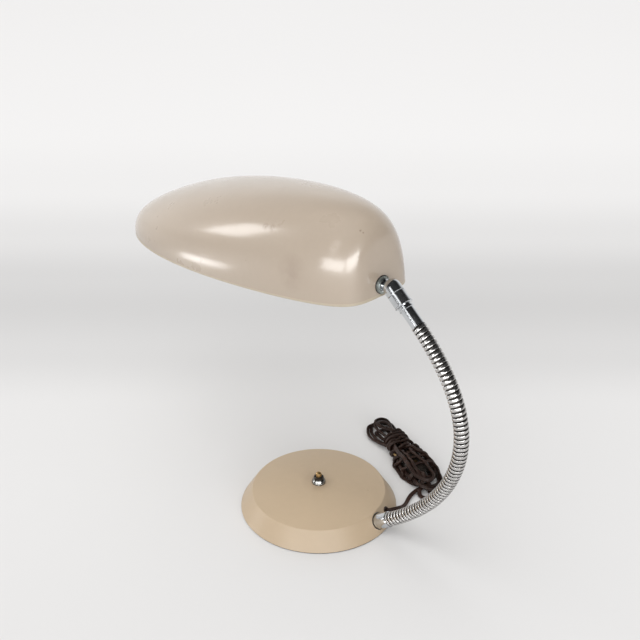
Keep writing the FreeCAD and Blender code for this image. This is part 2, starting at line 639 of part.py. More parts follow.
export("holder_ring", holder(rnut.cut(Part.makeCompound(flutes))))
insul = revolve([(0, 9.0), (11.0, 9.0), (12.4, 10.5), (12.4, 16.0), (8.9, 16.0), (8.9, 13.0), (0, 13.0)])
export("holder_insulator", holder(insul))
contact = box(-1.6, -6.0, 13.02, 1.6, 3.0, 13.5).fuse(cyl(2.2, 13.5, 15.0))
side_c = box(8.9, -1.5, 13.0, 9.3, 1.5, 24.0)
side_c = side_c.cut(cyl(8.86, 10, 30))
export("holder_contact", holder(contact))
thread = []
r_i, r_o = 7.05, 7.75
prof = [(r_i + 0.5, 16.1)]
z = 16.1
while z < 37.5:
    prof += [(r_o + 0.5, z + 0.7), (r_i + 0.5, z + 1.4)]
    z += 2.82
    prof += [(r_i + 0.5, z)]
zend = z
prof += [(9.1, zend), (9.1, 16.1)]
screw_shell = revolve(prof)
export("holder_screw_shell", holder(screw_shell))
# bulb: screw cap, glass and stem
bprof = [(0, 15.1), (2.0, 15.1), (3.8, 16.2), (6.6, 18.0)]
z = 18.2
while z < 37.0:
    bprof += [(6.4, z), (7.0, z + 1.0)]
    z += 2.0
bprof += [(6.9, 38.5), (8.0, 40.5), (8.0, 42.5), (0, 42.5)]
export("bulb_cap", holder(revolve(bprof)))
g = [(0, 42.55), (7.9, 42.55)]
glass_pts = [V(7.9, 0, 42.55), V(9.0, 0, 48.5), V(15.0, 0, 62.0), V(21.0, 0, 76.0), V(21.8, 0, 88.0), V(16.0, 0, 101.0), V(7.0, 0, 107.5), V(0, 0, 109.0)]
sp_o = Part.BSplineCurve()
sp_o.interpolate(glass_pts)
fo = Part.Face(Part.Wire([sp_o.toShape(), Part.LineSegment(V(0, 0, 109.0), V(0, 0, 42.55)).toShape(),
                          Part.LineSegment(V(0, 0, 42.55), V(7.9, 0, 42.55)).toShape()]))
go = fo.revolve(V(0, 0, 0), V(0, 0, 1), 360)
gi_pts = [V(6.9, 0, 42.0), V(8.0, 0, 48.7), V(14.1, 0, 62.4), V(20.1, 0, 76.3), V(20.9, 0, 87.7), V(15.3, 0, 100.3), V(6.6, 0, 106.5), V(0, 0, 108.0)]
sp_i = Part.BSplineCurve()
sp_i.interpolate(gi_pts)
fi = Part.Face(Part.Wire([sp_i.toShape(), Part.LineSegment(V(0, 0, 108.0), V(0, 0, 42.0)).toShape(),
                          Part.LineSegment(V(0, 0, 42.0), V(6.9, 0, 42.0)).toShape()]))
gi = fi.revolve(V(0, 0, 0), V(0, 0, 1), 360)
export("bulb_glass", holder(go.cut(gi)))
stem = revolve([(0, 42.6), (5.6, 42.6), (4.0, 47.0), (2.6, 56.0), (2.6, 66.0), (0, 67.0)])
leads = tube([(1.6, 0, 64.0), (5.5, 0, 72.0), (10.5, 0, 80.0)], 0.4).fuse(tube([(-1.6, 0, 64.0), (-5.5, 0, 72.0), (-10.5, 0, 80.0)], 0.4))
fil = Part.makeCylinder(0.7, 21.0, V(-10.5, 0, 80.2), V(1, 0, 0))
export("bulb_stem", holder(stem.fuse(leads).fuse(fil)))
lead_pts = [(-9.05, 0, bz), (-13.6, 0, bz + 0.3), (-16.6, 0, bz + 3.6), (-16.0, 0, SOCK_Z - 12.7)]
export("holder_leads", in_shade(tube(lead_pts, 1.5)))
print("lampholder axis above rim", SOCK_Z)

# ---------------------------------------------------------------- cord
cord = tube(CORD_ROUTE, CORD_T / 2 + 0.4, "cord")
export("cord_tube", cord)
grommet = revolve([(2.0, -4.6), (5.2, -4.6), (5.2, -3.2), (3.92, -2.6), (3.92, 0.3), (5.4, 0.3), (5.4, 0.9), (4.6, 1.8), (3.4, 1.8), (2.3, 0.6),
                   (2.0, -0.6)])
export("cord_bush", at_exit(grommet))

hu = V(math.cos(math.radians(HANK_DEG)), math.sin(math.radians(HANK_DEG)), 0)
hv = V(-hu.y, hu.x, 0)
HANK_OUTLINE = [(-75, 2), (-73, 11), (-62, 17), (-42, 17), (-22, 16), (-10, 23), (8, 24), (30, 25), (50, 20), (66, 10), (75, -2),
                (74, -11), (64, -19), (45, -21), (20, -22), (0, -18), (-16, -15), (-50, -16), (-67, -13), (-74, -6)]


def on_hank(u, v, z):
    return V(HANK_C[0], HANK_C[1], z) + hu * u + hv * v


outline = Part.BSplineCurve()
outline.interpolate([on_hank(u, v, 0.0) for u, v in HANK_OUTLINE], PeriodicFlag=True)
hank = Part.Face(Part.Wire([outline.toShape()])).extrude(V(0, 0, HANK_TOP))


def in_hank(shape):
    return placed(shape, V(HANK_C[0], HANK_C[1], 0), hu, hv, V(0, 0, 1))


# plug lying on the table inside the hank, pins towards the far end
PLUG_Z = 7.4
pl = box(8, -12.5, PLUG_Z - 6.6, 34, 12.5, PLUG_Z + 6.6)
pl = pl.makeFillet(4.0, [e for e in pl.Edges if abs(e.BoundBox.XLength - 26) < 1e-3])
tail = Part.makeLoft([Part.Wire([Part.makeCircle(6.4, V(34, 0, PLUG_Z), V(1, 0, 0))]), Part.Wire([Part.makeCircle(3.4, V(46, 0, PLUG_Z), V(1, 0, 0))])], True)
pl = pl.fuse(tail)
pins = []
for sgn in (-1, 1):
    pin = Part.makeCylinder(2.0, 19.0, V(8.0 - 19.0, sgn * 9.5, PLUG_Z), V(1, 0, 0)).fuse(Part.makeSphere(2.0, V(-11.0, sgn * 9.5, PLUG_Z)))
    pins.append(pin)
pscrew = cyl(2.6, PLUG_Z + 4.0, PLUG_Z + 6.2, 21, 0).cut(box(18, -0.4, PLUG_Z + 5.5, 24, 0.4, PLUG_Z + 8))
pl = pl.cut(cyl(2.65, PLUG_Z + 3.9, PLUG_Z + 8, 21, 0))
export("plug_body", in_hank(pl))
export("plug_pins", in_hank(Part.makeCompound(pins)))
export("plug_screw", in_hank(pscrew))
room = pl.fuse(cyl(2.66, PLUG_Z + 3.9, PLUG_Z + 6.6, 21, 0)).fuse(pins[0]).fuse(pins[1])
under_plug = box(8, -12.5, 0, 46, 12.5, PLUG_Z).fuse(box(-13, -11.5, 0, 8, 11.5, PLUG_Z))
hank = hank.cut(in_hank(under_plug.fuse(room)))
hank = hank.cut(cord)
export("cord_hank", hank)

# wires inside the base
inx = exit_p - exit_d * 4.8
w_in = [tuple(inx), tuple(inx - exit_d * 3.4), (61.0, 14.2, 10.6), (56.0, 12.4, 15.4), (44.0, 9.0, 16.8), (30.0, 7.0, 17.0), (23.0, 6.4, 15.6),
        (17.5, 5.9, 10.0), (13.0, 5.5, 5.6), (8.0, 5.4, 4.9), (3.3, 5.4, 4.9)]
end_w = at(-12.3)
w_out = [(3.3, -5.4, 4.9), (8.0, -5.4, 4.9), (13.0, -5.5, 5.6), (17.5, -5.7, 10.0), (23.0, -5.6, 15.6), (30.0, -5.0, 17.0), (44.0, -3.6, 16.8),
         (54.0, -2.0, 16.0), (60.2, -1.0, 12.0), (61.6, -0.4, 7.4), (end_w.x, end_w.y, end_w.z)]
export("base_wires", Part.makeCompound([tube(w_in, 0.9), tube(w_out, 0.9)]))
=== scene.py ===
import bpy, bmesh, json, math
import numpy as np
from mathutils import Vector, Matrix


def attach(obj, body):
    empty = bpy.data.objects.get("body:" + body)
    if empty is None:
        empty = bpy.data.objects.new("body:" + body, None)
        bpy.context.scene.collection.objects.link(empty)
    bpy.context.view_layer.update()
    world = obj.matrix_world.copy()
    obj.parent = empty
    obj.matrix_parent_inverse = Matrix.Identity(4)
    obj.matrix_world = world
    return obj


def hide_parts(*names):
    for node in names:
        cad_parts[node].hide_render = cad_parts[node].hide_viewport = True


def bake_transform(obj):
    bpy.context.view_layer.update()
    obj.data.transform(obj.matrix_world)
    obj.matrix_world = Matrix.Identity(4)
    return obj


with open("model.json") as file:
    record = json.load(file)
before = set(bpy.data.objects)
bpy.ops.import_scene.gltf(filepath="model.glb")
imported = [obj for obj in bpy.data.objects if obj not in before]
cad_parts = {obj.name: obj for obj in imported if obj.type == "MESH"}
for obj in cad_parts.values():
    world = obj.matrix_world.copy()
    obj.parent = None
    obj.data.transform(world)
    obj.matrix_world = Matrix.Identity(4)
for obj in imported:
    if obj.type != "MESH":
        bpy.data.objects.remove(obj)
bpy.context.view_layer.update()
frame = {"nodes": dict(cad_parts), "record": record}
record = frame["record"]
MM = 0.001
coll = bpy.context.scene.collection

# ------------------------------------------------------------------ camera
AZ, EL, DIST = math.radians(35.5), math.radians(29.7545), 1.28806
c_f = Vector((-math.sin(AZ) * math.cos(EL), math.cos(AZ) * math.cos(EL), -math.sin(EL)))
c_r = Vector((math.cos(AZ), math.sin(AZ), 0))
c_u = c_r.cross(c_f)
cam_data = bpy.data.cameras.new("camera")
cam = bpy.data.objects.new("camera", cam_data)
coll.objects.link(cam)
cam.location = -(c_f * DIST + c_r * -0.001311 + c_u * -0.18955)
cam.rotation_euler = Matrix((c_r, c_u, -c_f)).transposed().to_euler()
cam_data.sensor_fit = 'HORIZONTAL'
cam_data.sensor_width = 36.0
cam_data.lens = 69.98
cam_data.clip_start, cam_data.clip_end = 0.05, 50.0
bpy.context.scene.camera = cam
bpy.context.scene.view_settings.view_transform = 'Standard'


# ------------------------------------------------------------------ small tools
def new_mesh(name, verts, faces, mats=(), smooth=True, face_mats=None):
    me = bpy.data.meshes.new(name)
    me.from_pydata([tuple(v) for v in verts], [], faces)
    for m in mats:
        me.materials.append(m)
    if face_mats is not None:
        me.polygons.foreach_set("material_index", face_mats)
    if smooth:
        me.polygons.foreach_set("use_smooth", [True] * len(me.polygons))
    me.validate()
    me.update()
    ob = bpy.data.objects.new(name, me)
    coll.objects.link(ob)
    return ob


def fix_normals(ob):
    bm = bmesh.new()
    bm.from_mesh(ob.data)
    bmesh.ops.recalc_face_normals(bm, faces=bm.faces)
    bm.to_mesh(ob.data)
    bm.free()
    return ob


def sharpen(ob, deg=32.0):
    """Marks edges sharper than deg, so flat and round faces shade apart."""
    bm = bmesh.new()
    bm.from_mesh(ob.data)
    lim = math.radians(deg)
    for e in bm.edges:
        e.smooth = not (len(e.link_faces) == 2 and e.calc_face_angle(0) > lim)
    for f in bm.faces:
        f.smooth = True
    bm.to_mesh(ob.data)
    bm.free()
    return ob


def frame_matrix(origin, ez, ey_hint):
    ez = Vector(ez).normalized()
    ex = Vector(ey_hint).cross(ez).normalized()
    ey = ez.cross(ex)
    m = Matrix((ex, ey, ez)).transposed().to_4x4()
    m.translation = Vector(origin)
    return m


def fillet(points, radius, steps=4):
    """Rounds the corners of an open or closed (r, z) outline; radius is one number or one per point."""
    out = []
    n = len(points)
    rad = radius if isinstance(radius, (list, tuple)) else [radius] * n
    for i in range(n):
        p = np.array(points[i], float)
        if i in (0, n - 1) or rad[i] <= 0:
            out.append(tuple(p))
            continue
        a, b = np.array(points[i - 1], float), np.array(points[i + 1], float)
        u, w = a - p, b - p
        lu, lw = np.linalg.norm(u), np.linalg.norm(w)
        if lu < 1e-9 or lw < 1e-9:
            out.append(tuple(p))
            continue
        d = min(rad[i], 0.45 * lu, 0.45 * lw)
        s, e = p + u / lu * d, p + w / lw * d
        for k in range(steps + 1):
            t = k / steps
            out.append(tuple((1 - t)**2 * s + 2 * t * (1 - t) * p + t * t * e))
    return out


def lathe(name, outline, mat, matrix=None, n=96, closed=True, sharp=38.0, wobble=None):
    """Turns a closed (r, z) outline (mm) about Z; points on the axis become one vertex."""
    verts, faces, rows = [], [], []
    for r, z in outline:
        if r < 1e-6:
            verts.append((0, 0, z * MM))
            rows.append([len(verts) - 1])
        else:
            base = len(verts)
            for k in range(n):
                a = 2 * math.pi * k / n
                rr = r if wobble is None else wobble(r, z, a)
                verts.append((rr * MM * math.cos(a), rr * MM * math.sin(a), z * MM))
            rows.append(list(range(base, base + n)))
    m = len(rows)
    for i in range(m if closed else m - 1):
        a, b = rows[i], rows[(i + 1) % m]
        if len(a) == 1 and len(b) == 1:
            continue
        for k in range(n):
            k2 = (k + 1) % n
            if len(a) == 1:
                faces.append((a[0], b[k2], b[k]))
            elif len(b) == 1:
                faces.append((a[k], a[k2], b[0]))
            else:
                faces.append((a[k], a[k2], b[k2], b[k]))
    ob = new_mesh(name, verts, faces, [mat])
    bm = bmesh.new()
    bm.from_mesh(ob.data)
    bmesh.ops.recalc_face_normals(bm, faces=bm.faces)
    bm.to_mesh(ob.data)
    bm.free()
    sharpen(ob, sharp)
    if matrix is not None:
        ob.data.transform(matrix)
    return ob


# ------------------------------------------------------------------ materials
class Mat:
    """A principled material with small helpers for its node tree."""

    def __init__(self, name, color, rough=0.4, metal=0.0, **sockets):
        self.m = bpy.data.materials.new(name)
        self.m.use_nodes = True
        self.t = self.m.node_tree
        self.b = self.t.nodes["Principled BSDF"]
        self.b.inputs["Base Color"].default_value = (*color, 1)
        self.b.inputs["Roughness"].default_value = rough
        self.b.inputs["Metallic"].default_value = metal
        for k, v in sockets.items():
            self.b.inputs[k.replace("_", " ")].default_value = v
        self.coord = self.t.nodes.new("ShaderNodeTexCoord")

    def node(self, kind, **props):
        n = self.t.nodes.new(kind)
        for k, v in props.items():
            if k.startswith("in_"):
                n.inputs[k[3:].replace("_", " ")].default_value = v
            else:
                setattr(n, k, v)
        return n

    def link(self, a, b):
        self.t.links.new(a, b)

    def noise(self, scale, detail=4.0, rough=0.55, dist=0.0, vec=None):
        n = self.node("ShaderNodeTexNoise", in_Scale=scale, in_Detail=detail, in_Roughness=rough, in_Distortion=dist)
        self.link(vec or self.coord.outputs["Object"], n.inputs["Vector"])
        return n.outputs["Fac"]

    def voronoi(self, scale, feature='F1', vec=None, rand=1.0):
        n = self.node("ShaderNodeTexVoronoi", feature=feature, in_Scale=scale)
        n.inputs["Randomness"].default_value = rand
        self.link(vec or self.coord.outputs["Object"], n.inputs["Vector"])
        return n.outputs["Distance"]

    def ramp(self, fac, stops, interp='LINEAR'):
        n = self.node("ShaderNodeValToRGB")
        n.color_ramp.interpolation = interp
        while len(n.color_ramp.elements) < len(stops):
            n.color_ramp.elements.new(0.5)
        for e, (p, c) in zip(n.color_ramp.elements, stops):
            e.position = p
            e.color = (c, c, c, 1) if not isinstance(c, (tuple, list)) else (*c, 1)
        self.link(fac, n.inputs["Fac"])
        return n.outputs["Color"]

    def mix(self, fac, a, b):
        n = self.node("ShaderNodeMix", data_type='RGBA')
        for v, i in ((fac, 0), (a, 6), (b, 7)):
            if isinstance(v, (int, float)):
                n.inputs[i].default_value = v
            elif isinstance(v, (tuple, list)):
                n.inputs[i].default_value = (*v, 1)
            else:
                self.link(v, n.inputs[i])
        return n.outputs[2]

    def math(self, op, a, b=None, clamp=False):
        n = self.node("ShaderNodeMath", operation=op, use_clamp=clamp)
        for v, i in ((a, 0), (b, 1)):
            if v is None:
                continue
            if isinstance(v, (int, float)):
                n.inputs[i].default_value = v
            else:
                self.link(v, n.inputs[i])
        return n.outputs[0]

    def color(self, out):
        self.link(out, self.b.inputs["Base Color"])

    def rough(self, out):
        self.link(out, self.b.inputs["Roughness"])

    def bump(self, *layers):
        """layers are (height socket, distance in metres, strength)."""
        prev = None
        for h, d, s in layers:
            n = self.node("ShaderNodeBump", in_Strength=s, in_Distance=d)
            self.link(h, n.inputs["Height"])
            if prev is not None:
                self.link(prev, n.inputs["Normal"])
            prev = n.outputs["Normal"]
        self.link(prev, self.b.inputs["Normal"])

    def near(self, point, r0, r1):
        """1 inside r0 of a point (metres, row frame), 0 beyond r1."""
        n = self.node("ShaderNodeVectorMath", operation='DISTANCE')
        self.link(self.coord.outputs["Object"], n.inputs[0])
        n.inputs[1].default_value = point
        m = self.node("ShaderNodeMapRange", clamp=True)
        self.link(n.outputs["Value"], m.inputs["Value"])
        m.inputs["From Min"].default_value = r0
        m.inputs["From Max"].default_value = r1
        m.inputs["To Min"].default_value = 1.0
        m.inputs["To Max"].default_value = 0.0
        return m.outputs["Result"]


def paint(name, base, light, dark, rough=0.3, coat=0.8, coat_rough=0.15):
    m = Mat(name, base, rough, Coat_Weight=coat, Coat_Roughness=coat_rough, Specular_IOR_Level=0.35)
    cloud = m.noise(9.0, 5.0, 0.6)
    c = m.mix(m.ramp(cloud, [(0.15, 0.0), (0.88, 1.0)]), dark, light)
    fine = m.noise(160.0, 3.0, 0.6)
    c = m.mix(m.ramp(fine, [(0.40, 0.0), (0.75, 0.35)]), c, light)
    dots = m.ramp(m.voronoi(34.0), [(0.0, 1.0), (0.010, 0.9), (0.017, 0.0)])
    gate = m.ramp(m.noise(7.0, 1.0), [(0.52, 0.0), (0.56, 1.0)])
    specks = m.math('MULTIPLY', dots, gate)
    c = m.mix(m.math('MULTIPLY', specks, 0.8), c, (base[0] * 0.35, base[1] * 0.30, base[2] * 0.26))
    m.color(c)
    m.rough(m.ramp(m.noise(22.0, 4.0, 0.65), [(0.3, rough - 0.05), (0.7, rough + 0.09)]))
    m.bump((m.noise(420.0, 2.0, 0.5), 0.00006, 0.5), (m.noise(35.0, 3.0, 0.5), 0.0004, 0.25), (specks, -0.0002, 0.3))
    return m


def chrome(name, tint=(0.61, 0.63, 0.65), rough=0.09, grime=0.35):
    m = Mat(name, tint, rough, 1.0)
    c = m.mix(m.ramp(m.noise(70.0, 5.0, 0.65), [(0.42, 0.0), (0.80, grime)]), tint, (tint[0] * 0.45, tint[1] * 0.42, tint[2] * 0.38))
    m.color(c)
    m.rough(m.ramp(m.noise(140.0, 4.0, 0.6), [(0.3, rough), (0.75, rough + 0.16)]))
    m.bump((m.noise(900.0, 2.0, 0.5), 0.00002, 0.3), (m.noise(60.0, 2.0, 0.5), 0.0002, 0.12))
    return m


SHADE_RGB, BASE_RGB = (0.458, 0.378, 0.300), (0.505, 0.388, 0.262)
m_shade = paint("shade_paint", SHADE_RGB, tuple(v * 1.05 for v in SHADE_RGB), tuple(v * 0.94 for v in SHADE_RGB), 0.30)
m_base = paint("base_paint", BASE_RGB, tuple(v * 1.05 for v in BASE_RGB), tuple(v * 0.93 for v in BASE_RGB), 0.44, 0.18, 0.30)
def marks(m, spots):
    """Chips and smudges at points of the surface: (point, inner radius, outer radius, how strong, colour)."""
    c = m.b.inputs["Base Color"].links[0].from_socket
    for p, r0, r1, k, rgb in spots:
        f = m.math('MULTIPLY', m.near(p, r0, r1), m.ramp(m.noise(420.0, 3.0, 0.7), [(0.38, 0.0), (0.50, 1.0)]) if r1 < 0.01 else m.ramp(m.noise(60.0, 3.0), [(0.3, 0.2), (0.7, 1.0)]))
        c = m.mix(m.math('MULTIPLY', f, k), c, rgb)
    m.color(c)


marks(m_shade, [((-0.040, -0.018, 0.311), 0.0010, 0.0050, 0.50, (0.22, 0.15, 0.09)), ((-0.048, -0.017, 0.3095), 0.0005, 0.0045, 0.55, (0.20, 0.13, 0.08)),
                ((0.046, 0.000, 0.325), 0.0002, 0.0016, 0.8, (0.14, 0.09, 0.055)), ((0.048, 0.001, 0.323), 0.0001, 0.0012, 0.6, (0.16, 0.11, 0.07)),
                ((-0.006, -0.032, 0.280), 0.002, 0.020, 0.55, (0.31, 0.235, 0.175))])
marks(m_base, [((0.0, 0.0, 0.0275), 0.007, 0.019, 0.40, (0.30, 0.21, 0.14)), ((-0.017, 0.004, 0.027), 0.001, 0.010, 0.25, (0.28, 0.20, 0.13)),
               ((0.030, 0.045, 0.024), 0.0002, 0.0018, 0.6, (0.16, 0.11, 0.07)), ((0.046, 0.022, 0.024), 0.0002, 0.0016, 0.5, (0.18, 0.12, 0.08))])
m_white = paint("white_enamel", (0.80, 0.78, 0.72), (0.84, 0.82, 0.77), (0.74, 0.71, 0.64), 0.36)
m_edge = paint("rim_edge", (0.50, 0.43, 0.32), (0.56, 0.49, 0.38), (0.40, 0.33, 0.24), 0.45, 0.1, 0.3)
m_chrome = chrome("chrome")
m_band = chrome("coil_chrome", (0.60, 0.59, 0.58), 0.17, 0.4)
m_zinc = chrome("zinc", (0.42, 0.45, 0.43), 0.42, 0.5)
m_steel = chrome("plain_steel", (0.42, 0.42, 0.43), 0.32, 0.6)

# painted shade: the groove floor between coil turns and the sides of each band get this near-black colour, standing in
# for the shade in the gaps
m_groove_painted_shade = Mat("coil_groove_painted_shade", (0.035, 0.032, 0.028), 0.5, 0.6)
m_groove_painted_shade.color(m_groove_painted_shade.ramp(m_groove_painted_shade.noise(120.0), [(0.3, (0.015, 0.014, 0.012)), (0.75, (0.07, 0.06, 0.05))]))

m_brass = Mat("brass", (0.55, 0.37, 0.16), 0.28, 1.0)
m_brass.color(m_brass.ramp(m_brass.noise(260.0, 5.0, 0.7), [(0.30, (0.30, 0.18, 0.08)), (0.60, (0.58, 0.40, 0.18)), (0.8, (0.70, 0.52, 0.26))]))
m_brass.rough(m_brass.ramp(m_brass.noise(400.0, 4.0), [(0.3, 0.2), (0.75, 0.45)]))

m_black = Mat("black_phenolic", (0.014, 0.012, 0.011), 0.22)
m_black.color(m_black.ramp(m_black.noise(180.0, 4.0), [(0.35, (0.010, 0.009, 0.008)), (0.8, (0.035, 0.026, 0.020))]))
m_black.rough(m_black.ramp(m_black.noise(90.0, 3.0), [(0.3, 0.18), (0.75, 0.40)]))
m_black.bump((m_black.noise(500.0, 2.0), 0.00004, 0.4))

m_bush = Mat("bush_rubber", (0.05, 0.03, 0.022), 0.5)
m_bush.color(m_bush.ramp(m_bush.noise(200.0), [(0.3, (0.030, 0.018, 0.013)), (0.8, (0.085, 0.05, 0.036))]))
m_bush.bump((m_bush.noise(600.0), 0.00006, 0.5))

m_rubber = Mat("gasket_rubber", (0.02, 0.02, 0.02), 0.6)
m_rubber.color(m_rubber.ramp(m_rubber.noise(300.0), [(0.3, 0.012), (0.8, 0.045)]))
m_rubber.bump((m_rubber.noise(700.0), 0.00008, 0.6))

m_felt = Mat("pad_felt", (0.02, 0.02, 0.018), 0.95, Sheen_Weight=0.3)
m_felt.color(m_felt.ramp(m_felt.noise(900.0, 3.0, 0.8), [(0.3, 0.012), (0.75, 0.05)]))
m_felt.bump((m_felt.noise(1400.0, 3.0, 0.8), 0.0003, 0.8))

m_iron = Mat("cast_iron", (0.05, 0.05, 0.05), 0.7, 0.8)
m_iron.color(m_iron.ramp(m_iron.noise(240.0, 5.0, 0.7), [(0.3, (0.03, 0.03, 0.03)), (0.75, (0.11, 0.09, 0.08))]))
m_iron.bump((m_iron.noise(500.0, 4.0, 0.7), 0.0003, 0.7))

m_porcelain = Mat("porcelain", (0.80, 0.77, 0.70), 0.2, Coat_Weight=0.5)
m_porcelain.color(m_porcelain.ramp(m_porcelain.noise(50.0), [(0.3, (0.74, 0.70, 0.62)), (0.7, (0.84, 0.81, 0.75))]))

m_wire = Mat("wire", (0.10, 0.08, 0.06), 0.5)
m_wire.color(m_wire.ramp(m_wire.noise(200.0), [(0.3, (0.06, 0.045, 0.03)), (0.7, (0.16, 0.12, 0.09))]))

m_bulb = Mat("frosted_glass", (0.93, 0.92, 0.88), 0.35, Transmission_Weight=0.35, IOR=1.45, Subsurface_Weight=0.2)
m_bulb.b.inputs["Subsurface Scale"].default_value = 0.01
m_bulb.color(m_bulb.ramp(m_bulb.noise(60.0), [(0.3, (0.90, 0.885, 0.84)), (0.7, (0.95, 0.94, 0.91))]))

m_cord = Mat("cord_rubber", (0.03, 0.014, 0.009), 0.5, Specular_IOR_Level=0.25)
m_cord.color(m_cord.mix(m_cord.ramp(m_cord.noise(260.0, 4.0, 0.7), [(0.50, 0.0), (0.85, 0.6)]),
                        m_cord.ramp(m_cord.noise(14.0, 3.0), [(0.32, (0.012, 0.0062, 0.0045)), (0.52, (0.030, 0.0135, 0.0090)), (0.75, (0.066, 0.029, 0.018))]),
                        (0.085, 0.046, 0.030)))
m_cord.rough(m_cord.ramp(m_cord.noise(120.0, 4.0), [(0.3, 0.36), (0.75, 0.60)]))
m_cord.bump((m_cord.noise(650.0, 3.0, 0.6), 0.00012, 0.6), (m_cord.noise(90.0, 2.0), 0.0005, 0.3))

